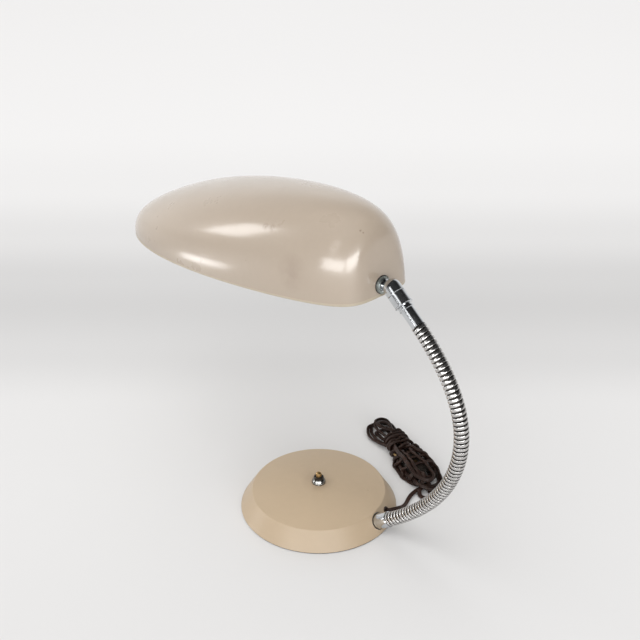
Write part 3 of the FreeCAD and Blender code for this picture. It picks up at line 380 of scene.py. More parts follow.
# ------------------------------------------------------------------ cord
# its route from the skirt to the hank (mm), then the hank's own turns: along, across and above the table in the hank's frame
CORD_ROUTE = [(71.9, 18.0, 11.5), (75.8, 22.7, 12.0), (78.0, 29.4, 10.2), (78.2, 37.6, 6.6), (76.4, 46.4, 3.3), (73.6, 55.6, 2.4),
              (71.8, 65.4, 2.6), (73.4, 75.0, 3.4)]
HANK_C, HANK_DEG = (34.0, 115.0), -30.7
HANK_LAY = [(52.9, -12.2, 1.9), (51, -6.9, 1.8), (48.4, -1.9, 1.8), (45.7, 3, 1.8), (42.5, 7.6, 1.8), (39.3, 12.1, 1.8), (35.7, 16.7, 1.8),
            (29.6, 15.7, 1.8), (24.2, 16.5, 1.8), (18.6, 16.1, 1.8), (13.1, 15.4, 1.7), (7.6, 15.6, 2), (1.7, 15.1, 1.6), (-2.6, 13.5, 5),
            (-7.8, 11.9, 3.1), (-13.1, 10.1, 4.8), (-18.5, 9.6, 3.6), (-23.9, 7.9, 5.3), (-29.2, 8.7, 4.5), (-34.9, 9.4, 4.9),
            (-39.9, 10.6, 2.5), (-45.6, 12, 2.2), (-51.4, 13.4, 1.6), (-57, 15, 1.9), (-62.9, 14.7, 1.8), (-68, 13, 1.8), (-72, 7.8, 1.8),
            (-73.1, 0.7, 1.8), (-72.6, -7.3, 1.8), (-66.6, -9.1, 1.8), (-62.1, -11.7, 1.8), (-56.2, -12.7, 1.8), (-50.7, -12.5, 1.8),
            (-44.8, -12.3, 1.8), (-39.3, -10.1, 1.7), (-33.4, -9.4, 2), (-28.4, -7.9, 2), (-24.1, -6.1, 5.3), (-18.2, -5.2, 3.7),
            (-13.4, -7.6, 4.7), (-8.5, -8.2, 3.3), (-4, -11.8, 2.2), (0.8, -13.7, 1.6), (5.3, -17.2, 1.9), (10.9, -16.5, 1.8),
            (16.4, -17.1, 1.8), (21.9, -17.3, 1.8), (27.5, -18.2, 1.7), (32.6, -15.8, 2), (37.9, -14.6, 1.6), (42.7, -13.1, 2.9),
            (47.3, -10.2, 3.2), (50.7, -7.1, 5.4), (55.4, -4.2, 5.2), (57.8, 0.3, 5.3), (56.5, 5.7, 3.8), (53.8, 9.6, 2.7), (50.6, 13.9, 2.2),
            (45.3, 15.5, 1.9), (41, 17.6, 1.8), (35.8, 19.6, 1.8), (30.5, 19.6, 1.9), (24.9, 20.1, 1.7), (19.6, 19.7, 2.1), (13.8, 19.4, 1.7),
            (9.2, 18.2, 4.1), (3.6, 17.2, 4.3), (1.1, 11.6, 5.3), (-4.3, 9.8, 4.3), (-9.2, 7.3, 4.7), (-14.5, 6.1, 4.9), (-19.8, 5.3, 4.7),
            (-25.1, 3.9, 4.9), (-30.4, 4.7, 5.5), (-35.2, 3.2, 4), (-40.9, 5.4, 3.2), (-46.2, 5.7, 1.6), (-51.5, 6, 2.1), (-58.4, 5.9, 1.7),
            (-60.7, -0.5, 1.8), (-58.1, -8.7, 1.8), (-51.6, -6.6, 1.7), (-46.2, -6.8, 1.9), (-40.6, -4.2, 1.8), (-36.1, -3.7, 4.4),
            (-30.9, -1.9, 5.2), (-25.6, -2.2, 4.5), (-20.5, -1.8, 5.5), (-15.4, -2.8, 6.8), (-10.6, -3.3, 9), (-5.7, -3.9, 11),
            (-0.9, -4.8, 13.1), (3.7, -5.4, 16.2), (9.3, -6.1, 15.8), (14.2, -5.6, 19.1), (19.5, -6.8, 17.3), (25, -6.5, 19.3),
            (30, -7.1, 18.2), (35.1, -7.3, 16), (40.1, -6.4, 15.9), (44.7, -7.4, 11.9), (45.9, -2.2, 9.8), (50.1, 2.7, 10.9), (48, 7, 6.7),
            (45.2, 11.2, 6.8), (40.2, 13, 4.5), (36.6, 16.6, 7), (31.2, 17.5, 5.4), (25.9, 17.3, 5.1), (20.2, 17.1, 5.6), (15.1, 15.2, 5.3),
            (9.5, 14.7, 5.8), (5, 12.1, 7.1), (-0.2, 12.2, 8.6), (-5.4, 10.3, 7.2), (-10.9, 9.2, 7.6), (-16.3, 9, 7.6), (-21.7, 8.2, 8.1),
            (-26.9, 9.6, 8.5), (-32.5, 9.5, 8.2), (-38, 9.8, 7.5), (-43, 11.8, 5.8), (-48.8, 12.2, 5.8), (-54.2, 13.1, 5.1),
            (-60.1, 12.7, 5.8), (-64.9, 11, 4.5), (-69.6, 7.3, 4.8), (-70.7, 0.1, 5), (-68.6, -6.3, 5.5), (-67.8, -13, 5), (-62.1, -15.7, 3.5),
            (-57.4, -17.5, 3.1), (-51.7, -17.7, 2.4), (-46.1, -16.8, 2.6), (-40.6, -15.3, 3.2), (-35.3, -13.7, 3.5), (-31, -11.1, 4.6),
            (-26, -9.9, 5.7), (-22.7, -6, 7.7), (-16.3, -7.2, 7.1), (-11.2, -6.5, 7.8), (-6, -8.7, 7.8), (-0.9, -9.9, 7.8), (3.9, -12.3, 7.9),
            (8.9, -14.3, 8.4), (14.2, -14.9, 7), (19.4, -15.1, 6.7), (24.9, -14.8, 7.2), (30.1, -14.2, 6.4), (35.5, -14.4, 7.7),
            (39.2, -10.6, 6.8), (45.5, -13, 7.7), (50.1, -11.5, 6.5), (56.4, -11.6, 9), (58.5, -6.5, 6.5), (62.6, -3.5, 5.5), (62.8, 2, 3.8),
            (62.2, 6.8, 3.4), (59.1, 11.3, 3.1), (54.9, 14.1, 3), (50.4, 16.7, 3.6), (45.4, 18, 4.6), (40.2, 18.7, 5.1), (35.3, 19.9, 7.7),
            (30.4, 18.4, 9.2), (25.8, 17.7, 11.9), (21.6, 14.8, 14.6), (17.4, 14, 17.9), (12.5, 10.4, 16.9), (8.1, 7.6, 18.3),
            (2.5, 6.1, 18.9), (-1.6, 3, 17.1), (-5.4, 2.2, 12.3), (-10.5, 1.8, 11.7), (-16.1, 2.5, 10.9), (-21.4, 2.8, 10.1),
            (-26.9, 3.3, 9.2), (-32.2, 3.8, 8.4), (-37.7, 4.5, 7.4), (-42.9, 6.6, 7.5), (-48.6, 7.5, 8.2), (-54.2, 9.3, 8.1), (-59.8, 10, 9.2),
            (-65.2, 9.2, 10), (-69.1, 3.5, 11.1), (-67.3, -4.1, 11.4), (-62.7, -7.1, 12.2), (-57.4, -9.5, 11.1), (-51.7, -8.8, 10.6),
            (-46.1, -8.2, 10.5), (-40.6, -6.5, 10.3), (-35.4, -5.4, 9.5), (-30.2, -3.7, 9.8), (-24.8, -4.6, 10), (-19.1, -4.6, 10.2),
            (-14.4, -6.5, 11.7), (-9.4, -8.4, 13.5), (-4.6, -9.8, 14.8), (0.9, -10.4, 15.3), (6.1, -11.4, 16.8), (11.6, -11.6, 17.6),
            (16.8, -12.2, 19.8), (22.2, -11.8, 17), (27.8, -13.2, 19.9), (32.2, -11.6, 15.7), (37.9, -12.1, 15.8), (42.6, -11.4, 13.5),
            (47.3, -8.9, 13), (51.6, -6.5, 12.7), (54.6, -2.1, 11.6), (53.8, 3.4, 10.9), (50.1, 7.1, 11.6), (45, 8, 12.8), (40.1, 7.3, 14),
            (35.4, 6.4, 15.6), (30.9, 5.4, 18.5), (25.7, 4.3, 17.7), (20.4, 2.5, 18.8), (15.1, 2.4, 18.6), (9.7, 2.2, 17), (4, 2.4, 17.7),
            (0.6, 5.7, 13.3), (-5.2, 6.7, 16.3), (-10.2, 7.7, 14.4), (-15.3, 6.9, 12), (-20.6, 6.9, 11.3), (-26, 6.6, 10.4),
            (-31.3, 6.1, 11.3), (-36.6, 6, 10.2), (-41.8, 5.5, 11.3), (-47.5, 5, 11.2), (-53.1, 6.6, 11.9), (-58.8, 4.3, 12.8),
            (-60.3, -3, 14.3), (-55.4, -8, 15.3), (-49.6, -6.3, 15.1), (-45.5, -1.8, 14.4), (-41.4, 0.9, 15), (-36.5, 4.5, 13.8),
            (-38.3, 10.7, 14.3), (-35.7, 13.4, 9.9), (-35.6, 14.3, 4), (-34.9, 9.2, 1.6), (-33.9, 4.2, 2), (-33.5, -0.5, 1.8),
            (-34.8, -6.2, 1.6), (-33.9, -8.1, 6.6), (-33.2, -7.6, 12.2), (-33.7, -2.6, 14.3), (-32.5, 2.5, 13.7), (-31.9, 7.1, 14.5),
            (-31.9, 12.9, 13.1), (-32.8, 14.3, 7.9), (-28.8, 14, 2.7), (-30.5, 7.9, 1.6), (-28.8, 3.5, 2.2), (-29.4, -2.2, 1.6),
            (-31.1, -6.1, 3.9), (-28.5, -9.7, 8.2), (-28.7, -6.3, 13.3), (-27.7, -1.6, 14.8), (-27.7, 3.5, 14.5), (-27.6, 8.6, 14.5),
            (-27.1, 13.2, 12.1), (-27, 15.5, 7), (-25.3, 12.7, 1.8), (-25.3, 7.5, 1.8), (-24.4, 2.3, 1.7), (-26, -2.3, 2), (-23.6, -8.6, 1.6),
            (-22.7, -11, 6.1), (-22.3, -8.9, 12.1), (-24.1, -3.9, 13.8), (-21.9, 1.2, 13), (-24.5, 6.1, 15.1), (-20.7, 11, 12.9),
            (-24, 15, 9.5), (-20.2, 14.2, 3.8), (-19.7, 9.7, 1.6), (-20.8, 4.2, 2), (-19.5, -0.4, 2), (-22, -6.1, 1.6), (-17.8, -9.7, 3.9),
            (-19.3, -10.6, 9.9), (-18.5, -6.4, 13.8), (-17.9, -1.3, 14.1), (-16.9, 3.5, 14.2), (-16.8, 8.7, 15.2), (-17.1, 12.9, 11.8),
            (-15.3, 16.3, 8.4), (-13, 15.3, 2.9), (-11.6, 9.9, 1.6), (-12.7, 5, 2.1), (-12.2, -0.2, 1.6), (-12.3, -4.9, 2),
            (-11.2, -10.8, 1.6), (-10.7, -12.9, 7), (-6.6, -11.2, 11.4), (-7.7, -5.6, 11.8), (-6.6, -1.8, 16), (-8.8, 3.7, 15.1),
            (-5.7, 7.1, 11.2), (-7.2, 13.1, 13.4), (-5.9, 17.3, 10), (-3.9, 18.3, 4.7), (-2.1, 14.5, 1.6), (-2.4, 8.7, 2.3), (-1, 4, 1.6),
            (-0.7, -1.1, 2), (-0.6, -6.3, 1.6), (0.2, -10.9, 2.6), (1.4, -15.2, 6.2), (3.8, -15.1, 10.9), (5.6, -9.9, 14.2), (5.1, -5.2, 12.4),
            (4.6, 0.1, 13.9), (6.7, 4.6, 15), (5.7, 9.2, 16.4), (7.7, 14.9, 15.4), (7.9, 16.4, 10), (5, 16.1, 5.1), (5.8, 10.9, 2.6),
            (5, 5.2, 2.9), (5.2, -0.7, 2.3), (5.5, -5.8, 2.6), (4.6, -12.9, 2.8), (9.6, -14.5, 4), (11.4, -18.7, 8.3), (14.7, -15.2, 11.9),
            (14.7, -11.7, 16.7), (17.1, -6, 15.4), (16.3, -0.6, 16.1), (17.4, 4.6, 15.4), (17.9, 9.7, 16.6), (17.2, 15.5, 13.4), (20, 14, 8.9),
            (22.7, 15.4, 4.3), (22.5, 9.9, 1.6), (22.7, 3.9, 2.2), (22.6, -2.5, 1.6), (22.5, -8.3, 2.1), (22.7, -14.6, 1.6),
            (28.1, -16.6, 4.8), (24.1, -18.1, 10.3), (28.7, -13.9, 14.1), (25.4, -9.4, 16.5), (29, -4.1, 15.4), (28, 0.9, 16),
            (28.9, 5.9, 15.5), (29, 11.3, 16.3), (30.7, 16.2, 14), (27.2, 15.7, 7.4), (30.4, 13.8, 5.1), (35.9, 14.6, 2.1), (35.2, 8, 1.6),
            (35.7, 2.6, 1.9), (35.7, -3.2, 1.8), (36.4, -8.6, 1.6), (37, -14.2, 3.9), (38.9, -15.5, 9), (39, -10.5, 14.1), (39.2, -4.8, 10.9),
            (44.7, -2.8, 15.3), (48.8, -4.1, 11), (52.1, -7.8, 9.8), (54.4, -9.2, 4.6), (57.5, -14.1, 5), (61.3, -15.4, 1.6),
            (67.4, -15.4, 2.3), (69.1, -9.1, 1.6), (67, -3.5, 1.7), (61.2, -4.1, 2.1), (56.6, 0, 1.6), (53.7, -0.5, 6.5), (48.5, 0.4, 7.2),
            (45.5, 0, 7.4)]
CORD_W, CORD_T, CORD_LENGTH = 4.3, 2.6, 2.11


def hank_point(q):
    c, s = math.cos(math.radians(HANK_DEG)), math.sin(math.radians(HANK_DEG))
    return Vector((HANK_C[0] + q[0] * c - q[1] * s, HANK_C[1] + q[0] * s + q[1] * c, q[2])) * MM


def spline_line(name, points, detail=5):
    """The line that a smooth open spline with these control points follows."""
    cu = bpy.data.curves.new(name, 'CURVE')
    cu.dimensions = '3D'
    sp = cu.splines.new('NURBS')
    sp.points.add(len(points) - 1)
    for p, q in zip(sp.points, points):
        p.co = (*q, 1.0)
    sp.order_u = 3
    sp.use_endpoint_u = True
    sp.resolution_u = detail
    cu.resolution_u = detail
    ob = bpy.data.objects.new(name, cu)
    coll.objects.link(ob)
    bpy.context.view_layer.update()
    me = bpy.data.meshes.new_from_object(ob.evaluated_get(bpy.context.evaluated_depsgraph_get()))
    line = [v.co.copy() for v in me.vertices]
    bpy.data.meshes.remove(me)
    bpy.data.objects.remove(ob)
    bpy.data.curves.remove(cu)
    keep = [line[0]]
    for p in line[1:]:
        if (p - keep[-1]).length > 1e-5:
            keep.append(p)
    return keep


def twin_section(width, thick, n=11):
    """Outline of a flat twin flex: two round cores side by side with a shallow groove between them."""
    r = thick / 2
    off = width / 2 - r
    a0 = math.pi - math.acos(min(1.0, off / r)) - 0.12
    out = []
    for sgn in (1, -1):
        for i in range(n):
            a = -a0 + 2 * a0 * i / (n - 1)
            if sgn == 1:
                out.append((off + r * math.cos(a), r * math.sin(a)))
            else:
                out.append((-off - r * math.cos(a), -r * math.sin(a)))
    return out


def sweep(name, line, section, mat, first_side):
    """Sweeps a section (mm) along a line: on edge where it leaves the bush, flat by the time it reaches the table, then with a slow lazy twist."""
    n = len(line)
    tan = [(line[min(n - 1, i + 1)] - line[max(0, i - 1)]).normalized() for i in range(n)]
    w = Vector(first_side)
    roll, run = [], [0.0]
    for i in range(n):
        if i:
            axis = tan[i - 1].cross(tan[i])
            if axis.length > 1e-9:
                w = Matrix.Rotation(tan[i - 1].angle(tan[i]), 3, axis.normalized()) @ w
            run.append(run[-1] + (line[i] - line[i - 1]).length)
        w = (w - tan[i] * w.dot(tan[i])).normalized()
        roll.append(w.copy())
    k = next(i for i in range(n) if run[i] > 0.062)
    flat = tan[k].cross(Vector((0, 0, 1))).normalized()
    turn = math.atan2(tan[k].dot(roll[k].cross(flat)), roll[k].dot(flat))
    turn = (turn + math.pi / 2) % math.pi - math.pi / 2
    verts, faces = [], []
    m = len(section)
    for i in range(n):
        t = min(1.0, max(0.0, (run[i] - 0.022) / 0.040))
        free = min(1.0, max(0.0, (run[i] - 0.07) / 0.06))
        a = turn * t * t * (3 - 2 * t) + free * (0.45 * math.sin(run[i] * 41.0) + 0.35 * math.sin(run[i] * 17.3 + 1.0) + 0.18 * math.sin(run[i] * 103.0))
        side = Matrix.Rotation(a, 3, tan[i]) @ roll[i]
        up = tan[i].cross(side)
        for x, y in section:
            p = line[i] + side * (x * MM) + up * (y * MM)
            verts.append((p.x, p.y, max(p.z, 0.00005)))
    for i in range(n - 1):
        for j in range(m):
            j2 = (j + 1) % m
            faces.append((i * m + j, i * m + j2, (i + 1) * m + j2, (i + 1) * m + j))
    verts += [line[0], line[-1]]
    for j in range(m):
        j2 = (j + 1) % m
        faces.append((len(verts) - 2, j2, j))
        faces.append((len(verts) - 1, (n - 1) * m + j, (n - 1) * m + j2))
    ob = new_mesh(name, verts, faces, [mat])
    fix_normals(ob)
    return ob


cord_line = spline_line("cord_line", [Vector(p) * MM for p in CORD_ROUTE] + [hank_point(q) for q in HANK_LAY])
cord = sweep("cord_flex", cord_line, twin_section(CORD_W, CORD_T), m_cord.m, (0.44, -0.285, -0.852))
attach(cord, "base")
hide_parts("cord_tube", "cord_hank")

m_nut = chrome("switch_metal", (0.30, 0.30, 0.29), 0.22, 0.6)

NODE_MAT = {
    "base_shell": m_base, "base_pad": m_felt, "base_weight": m_iron, "shade_shell": m_shade, "shade_washer": m_zinc, "shade_gasket": m_rubber,
    "bulb_glass": m_bulb, "bulb_stem": m_bulb, "bulb_cap": m_brass, "holder_insulator": m_porcelain, "holder_cap": m_black,
    "holder_sleeve": m_black, "holder_ring": m_black, "holder_leads": m_wire, "base_wires": m_wire, "cord_bush": m_black,
    "plug_body": m_black, "plug_pins": m_brass, "plug_screw": m_brass, "switch_bush": m_black, "switch_body": m_black,
    "switch_plunger": m_brass, "switch_terminals": m_brass, "holder_contact": m_brass, "holder_screw_shell": m_brass,
    "holder_nipple": m_brass, "switch_ring_nut": m_nut, "root_ferrule": m_chrome, "top_ferrule": m_chrome, "swivel_cup": m_chrome,
    "swivel_cap": m_chrome, "swivel_ball": m_chrome, "cord_tube": m_cord, "cord_hank": m_cord,
}
for name, ob in frame["nodes"].items():
    if name.startswith("neck_coil"):
        m = m_band
    elif name.startswith("neck_wire"):
        m = m_wire
    else:
        m = NODE_MAT.get(name, m_steel)
    ob.data.materials.clear()
    ob.data.materials.append(m.m)

# ------------------------------------------------------------------ bush the cord leaves through
EXIT_DEG, EXIT_Z, PAD_T, BASE_R, BASE_TOP_R, SKIRT_TOP_Z = 14.0, 11.2, 1.0, 80.0, 68.2, 19.9
lean = (BASE_R - BASE_TOP_R) / (SKIRT_TOP_Z - PAD_T)
exit_r = BASE_R - (EXIT_Z - PAD_T) * lean
ec, es = math.cos(math.radians(EXIT_DEG)), math.sin(math.radians(EXIT_DEG))
bush_at = frame_matrix(Vector((exit_r * ec, exit_r * es, EXIT_Z)) * MM, (ec, es, lean), (-es, ec, 0.0))
bush_line = fillet([(2.9, -3.4), (4.0, -3.4), (3.86, -2.4), (3.86, 0.08), (4.75, 0.10), (4.6, 0.62), (3.9, 0.9), (3.0, 0.72), (2.7, -0.4)],
                   [0, 0.3, 0.3, 0.1, 0.2, 0.3, 0.35, 0.3, 0.3], 5)
bush = lathe("exit_bush", bush_line, m_bush.m, bush_at, n=72, sharp=60)
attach(bush, "base")
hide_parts("cord_bush")

# ------------------------------------------------------------------ flexible neck
NECK_START = np.array((75.96, 0.0, 12.53))
NECK_ELEV = [(-20, 32.7), (0, 32.7), (13, 34.0), (27.5, 39.4), (55.1, 46.2), (82.6, 53.7), (110.2, 62.6),
             (137.7, 73.6), (165.3, 87.3), (192.8, 103.9), (220.4, 119.6), (247.9, 130.6), (275.5, 139.0),
             (288, 142.2), (300, 143.5), (340, 143.5)]
NECK_TURN, NECK_TURN_S = -12.0, 115.0
S_COIL_0, S_COIL_1, S_BALL, COIL_TURNS, SEGMENTS = 13.0, 288.0, 330.6, 63, 7


def elev(s):
    n = len(NECK_ELEV)
    i = 0
    while i < n - 2 and s > NECK_ELEV[i + 1][0]:
        i += 1

    def slope(j):
        return 0.0 if j <= 0 or j >= n - 1 else (NECK_ELEV[j + 1][1] - NECK_ELEV[j - 1][1]) / (NECK_ELEV[j + 1][0] - NECK_ELEV[j - 1][0])
    (s0, e0), (s1, e1) = NECK_ELEV[i], NECK_ELEV[i + 1]
    h = s1 - s0
    t = (s - s0) / h
    return (2 * t**3 - 3 * t**2 + 1) * e0 + (t**3 - 2 * t**2 + t) * slope(i) * h + (-2 * t**3 + 3 * t**2) * e1 + (t**3 - t**2) * slope(i + 1) * h


def neck_dir(s):
    t = max(0.0, min(1.0, s / NECK_TURN_S))
    e, p = math.radians(elev(s)), math.radians(NECK_TURN * t * t * (3 - 2 * t))
    return np.array((math.cos(e) * math.cos(p), math.cos(e) * math.sin(p), math.sin(e))), np.array((math.sin(p), -math.cos(p), 0.0))


neck_pts = [NECK_START]
for i in range(1380):
    neck_pts.append(neck_pts[-1] + neck_dir((i + 0.5) * 0.25)[0] * 0.25)
neck_pts = np.array(neck_pts)


def neck_at(s):
    if s < 0:
        return NECK_START + neck_dir(0)[0] * s
    k = min(s / 0.25, 1379.0)
    i = int(k)
    return neck_pts[i] + (neck_pts[i + 1] - neck_pts[i]) * (k - i)


def neck_point(s, r, a):
    ez, ey = neck_dir(s)
    ex = np.cross(ey, ez)
    return neck_at(s) + (ex * math.cos(a) + ey * math.sin(a)) * r


BAND = [(-1.52, 5.60), (-1.52, 6.70), (-1.45, 6.96), (-1.24, 7.10), (-0.72, 7.17), (0.0, 7.20), (0.72, 7.17), (1.24, 7.10), (1.45, 6.96),
        (1.52, 6.70), (1.52, 5.60)]
AROUND = 40
pitch = (S_COIL_1 - S_COIL_0) / COIL_TURNS
rows_total = COIL_TURNS * AROUND
coil_rows = []
for i in range(-AROUND // 2, rows_total + AROUND // 2 + 1):
    sc = S_COIL_0 + pitch * i / AROUND
    a = 2 * math.pi * i / AROUND
    wear = 0.05 * math.sin(i * 0.37) + 0.04 * math.sin(i * 0.113 + 2.0)
    coil_rows.append([neck_point(min(max(sc + t + wear * 0.5, S_COIL_0 - 0.2), S_COIL_1 + 0.18), r, a) * MM for t, r in BAND])
nb = len(BAND)


def coil_piece(name, i0, i1):
    """The strip from row i0 to row i1, with the floor of the groove beside it."""
    verts, index, faces, fm = [], {}, [], []

    def vid(i, j):
        if (i, j) not in index:
            index[(i, j)] = len(verts)
            verts.append(coil_rows[i][j])
        return index[(i, j)]
    for i in range(i0, i1):
        for j in range(nb - 1):
            faces.append((vid(i, j), vid(i + 1, j), vid(i + 1, j + 1), vid(i, j + 1)))
            # the band's two sides take the painted-shade groove material
            fm.append(1 if j in (0, nb - 2) else 0)
        # the groove floor to the next turn, also in the painted-shade material
        if i + 1 + AROUND < len(coil_rows):
            faces.append((vid(i, nb - 1), vid(i + 1, nb - 1), vid(i + 1 + AROUND, 0), vid(i + AROUND, 0)))
            fm.append(1)
    ob = new_mesh(name, verts, faces, [m_band.m, m_groove_painted_shade.m], face_mats=fm)
    bm = bmesh.new()
    bm.from_mesh(ob.data)
    bmesh.ops.remove_doubles(bm, verts=bm.verts, dist=2e-6)
    bmesh.ops.recalc_face_normals(bm, faces=bm.faces)
    for e in bm.edges:
        e.smooth = not (len(e.link_faces) == 2 and e.calc_face_angle(0) > 0.9)
    bm.to_mesh(ob.data)
    bm.free()
    return ob


seg = (S_COIL_1 - S_COIL_0) / SEGMENTS
cut = [0] + [AROUND // 2 + int(round((k + 0.5) * rows_total / SEGMENTS)) for k in range(SEGMENTS)] + [len(coil_rows) - 1]
part = coil_piece("neck_flex_foot", cut[0], cut[1])
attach(part, "base")
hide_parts("neck_coil_1")
for k in range(1, SEGMENTS):
    part = coil_piece("neck_flex_%d" % k, cut[k], cut[k + 1])
    sh = S_COIL_0 + seg * k
    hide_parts("neck_coil_%d" % k, "neck_coil_%d" % (k + 1))
    tuple(neck_at(sh - 15) * MM)
    tuple(neck_at(sh + 15) * MM)
    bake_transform(part)
part = coil_piece("neck_flex_top", cut[SEGMENTS], cut[SEGMENTS + 1])
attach(part, "neck_7")
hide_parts("neck_coil_7")

# ------------------------------------------------------------------ shade
SHADE_L, SHADE_W, SHADE_H, SHADE_T = 352.0, 156.0, 83.4, 1.0
PLAN, SIDEV, SECT_Q = (0.51, 0.209, -0.86), (0.567, 0.132, -0.024), 2.317
PSI, TAU = math.radians(-12.0), math.radians(5.64)
LEVEL = np.array((math.cos(PSI), math.sin(PSI), 0.0))
SY = np.array((-math.sin(PSI), math.cos(PSI), 0.0))
UP = np.array((0.0, 0.0, 1.0))
SX = LEVEL * math.cos(TAU) + UP * math.sin(TAU)
SZ = UP * math.cos(TAU) - LEVEL * math.sin(TAU)
BALL = neck_at(S_BALL)
REAR = np.array((BALL[0], BALL[1], 0.0)) - LEVEL * 11.8 + UP * 259.7


def in_shade(p):
    return (REAR + SX * p[0] + SY * p[1] + SZ * p[2]) * MM


def curve(u, c):
    u = np.clip(u, 1e-9, 1 - 1e-9)
    return u**c[0] * (1 - u)**c[1] * np.exp(c[2] * u)


TOPS = [curve(np.arange(1, 4000) / 4000.0, c).max() for c in (PLAN, SIDEV)]


def shade_rings(L, W, H, levels, n_theta, dx):
    xc = 0.42 * L

    def half_width(x):
        return np.where((x > 0) & (x < L), W / 2 * curve(1 - x / L, PLAN) / TOPS[0], 0.0)

    def height(x, y):
        w = np.maximum(half_width(x), 1e-9)
        h = H * curve(1 - x / L, SIDEV) / TOPS[1]
        v = np.minimum(np.abs(y) / w, 1.0)
        return h * (1 - v**SECT_Q)**(1 / SECT_Q)

    def rim(th):
        lo, hi = np.zeros_like(th), np.full_like(th, L)
        for _ in range(60):
            m = (lo + hi) / 2
            x, y = xc - np.cos(th) * m, np.abs(np.sin(th) * m)
            ok = (x > 0) & (x < L) & (y < half_width(x))
            lo, hi = np.where(ok, m, lo), np.where(ok, hi, m)
        return lo
    m = 1440
    th = 2 * math.pi * np.arange(m + 1) / m
    rr = rim(th)
    x, y = rr * np.cos(th), rr * np.sin(th)
    acc = np.r_[0, np.cumsum(np.hypot(np.diff(x), np.diff(y)))]
    ths = np.interp(acc[-1] * np.arange(n_theta) / n_theta, acc, th)
    R = rim(ths)
    t = np.linspace(0, 1, 500)
    out = np.zeros((len(levels), n_theta, 3))
    for j, (a, r0) in enumerate(zip(ths, R)):
        r = r0 * (1 - t**5)
        px, py = xc - math.cos(a) * r, math.sin(a) * r
        pz = height(px, py)
        pz[0] = 0.0
        d = np.r_[0, np.cumsum(np.sqrt(np.diff(px)**2 + np.diff(py)**2 + np.diff(pz)**2))]
        f = np.array(levels) * d[-1]
        out[:, j, 0] = dx - np.interp(f, d, px)
        out[:, j, 1] = np.interp(f, d, py)
        out[:, j, 2] = np.interp(f, d, pz)
    return out, np.array((dx - xc, 0.0, float(height(np.array([xc]), np.array([0.0]))[0])))


levels = [0.0] + list(np.linspace(0.012, 0.985, 62))
NT = 260
outer, top_o = shade_rings(SHADE_L, SHADE_W, SHADE_H, levels, NT, 0.0)
inner, top_i = shade_rings(SHADE_L - 2 * SHADE_T, SHADE_W - 2 * SHADE_T, SHADE_H - SHADE_T, levels, NT, -SHADE_T)
sv, sf, sm = [], [], []
grid = []
for ring in outer[::-1]:
    grid.append((ring, 0))
bead_r = 0.65
mid = (outer[0] + inner[0]) / 2
out_dir = outer[0] - inner[0]
out_dir[:, 2] = 0
out_dir /= np.linalg.norm(out_dir, axis=1, keepdims=True)
for a in (28, 0, -30, -60, -90, -120, -150, -180, -208):
    c, s = math.cos(math.radians(a)), math.sin(math.radians(a))
    ring = mid + out_dir * (bead_r * c)
    ring[:, 2] = 0.25 + bead_r * s
    grid.append((ring, 1))
for ring in inner[1:]:
    grid.append((ring, 2))
# the two rings that the bead grows out of
del grid[len(outer) - 1]
for ring, kind in grid:
    sv += [in_shade(p) for p in ring]
kinds = [k for _, k in grid]
for i in range(len(grid) - 1):
    k = max(kinds[i], kinds[i + 1]) if 1 not in (kinds[i], kinds[i + 1]) else 1
    for j in range(NT):
        j2 = (j + 1) % NT
        sf.append((i * NT + j, i * NT + j2, (i + 1) * NT + j2, (i + 1) * NT + j))
        sm.append(k)
a, b = len(sv), len(sv) + 1
sv += [in_shade(top_o), in_shade(top_i)]
for j in range(NT):
    j2 = (j + 1) % NT
    sf.append((a, j2, j))
    sm.append(0)
    sf.append((b, (len(grid) - 1) * NT + j, (len(grid) - 1) * NT + j2))
    sm.append(2)
shade = new_mesh("shade_body", sv, sf, [m_shade.m, m_edge.m, m_white.m], face_mats=sm)
fix_normals(shade)
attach(shade, "shade")
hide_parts("shade_shell")

# ------------------------------------------------------------------ floor and light
# a white paper sweep with painted light: its colour by the distance behind the lamp (m), darker near the lamp, with a
# painted shade band 0.3 to 0.5 m back, lighter far back
FLOOR_PAINTED_LIGHT = [(-0.25, 0.70), (0.05, 0.725), (0.18, 0.725), (0.30, 0.645), (0.42, 0.595), (0.50, 0.62), (0.63, 0.71), (0.80, 0.795), (1.05, 0.835)]
fl = new_mesh("floor", [(-7, -7, 0), (7, -7, 0), (7, 7, 0), (-7, 7, 0)], [(0, 1, 2, 3)], smooth=False)
m_floor = Mat("floor", (0.80, 0.79, 0.785), 0.9, Specular_IOR_Level=0.0)
away = m_floor.node("ShaderNodeVectorMath", operation='DOT_PRODUCT')
m_floor.link(m_floor.coord.outputs["Object"], away.inputs[0])
away.inputs[1].default_value = (-math.sin(AZ), math.cos(AZ), 0)
far = m_floor.math('DIVIDE', m_floor.math('ADD', away.outputs["Value"], 0.3), 1.5)
# painted light and shade: this ramp darkens and lightens the floor's colour by distance, in place of the studio light's
# fall-off
c = m_floor.ramp(far, [((v + 0.3) / 1.5, (g, g * 0.990, g * 0.984)) for v, g in FLOOR_PAINTED_LIGHT], 'EASE')
c = m_floor.mix(m_floor.ramp(m_floor.noise(1.5, 2.0), [(0.3, 0.0), (0.7, 0.06)]), c, (0.72, 0.71, 0.70))
m_floor.color(c)
fl.data.materials.append(m_floor.m)

AWAY = Vector((-math.sin(AZ), math.cos(AZ), 0))


def softbox(name, target, bearing, height, dist, size, power, color=(1, 1, 1), diffuse=True, glossy=True):
    """An area light seen from target at that bearing (degrees right of the camera's side) and elevation."""
    b, h = math.radians(bearing), math.radians(height)
    way = (c_r * math.sin(b) - AWAY * math.cos(b)) * math.cos(h) + Vector((0, 0, math.sin(h)))
    d = bpy.data.lights.new(name, 'AREA')
    d.shape = 'RECTANGLE'
    d.size, d.size_y = size
    d.energy = power
    d.color = color
    o = bpy.data.objects.new(name, d)
    coll.objects.link(o)
    o.location = Vector(target) + way * dist
    o.rotation_euler = (-way).to_track_quat('-Z', 'Y').to_euler()
    o.visible_camera = False
    o.visible_diffuse, o.visible_glossy = diffuse, glossy
    return o


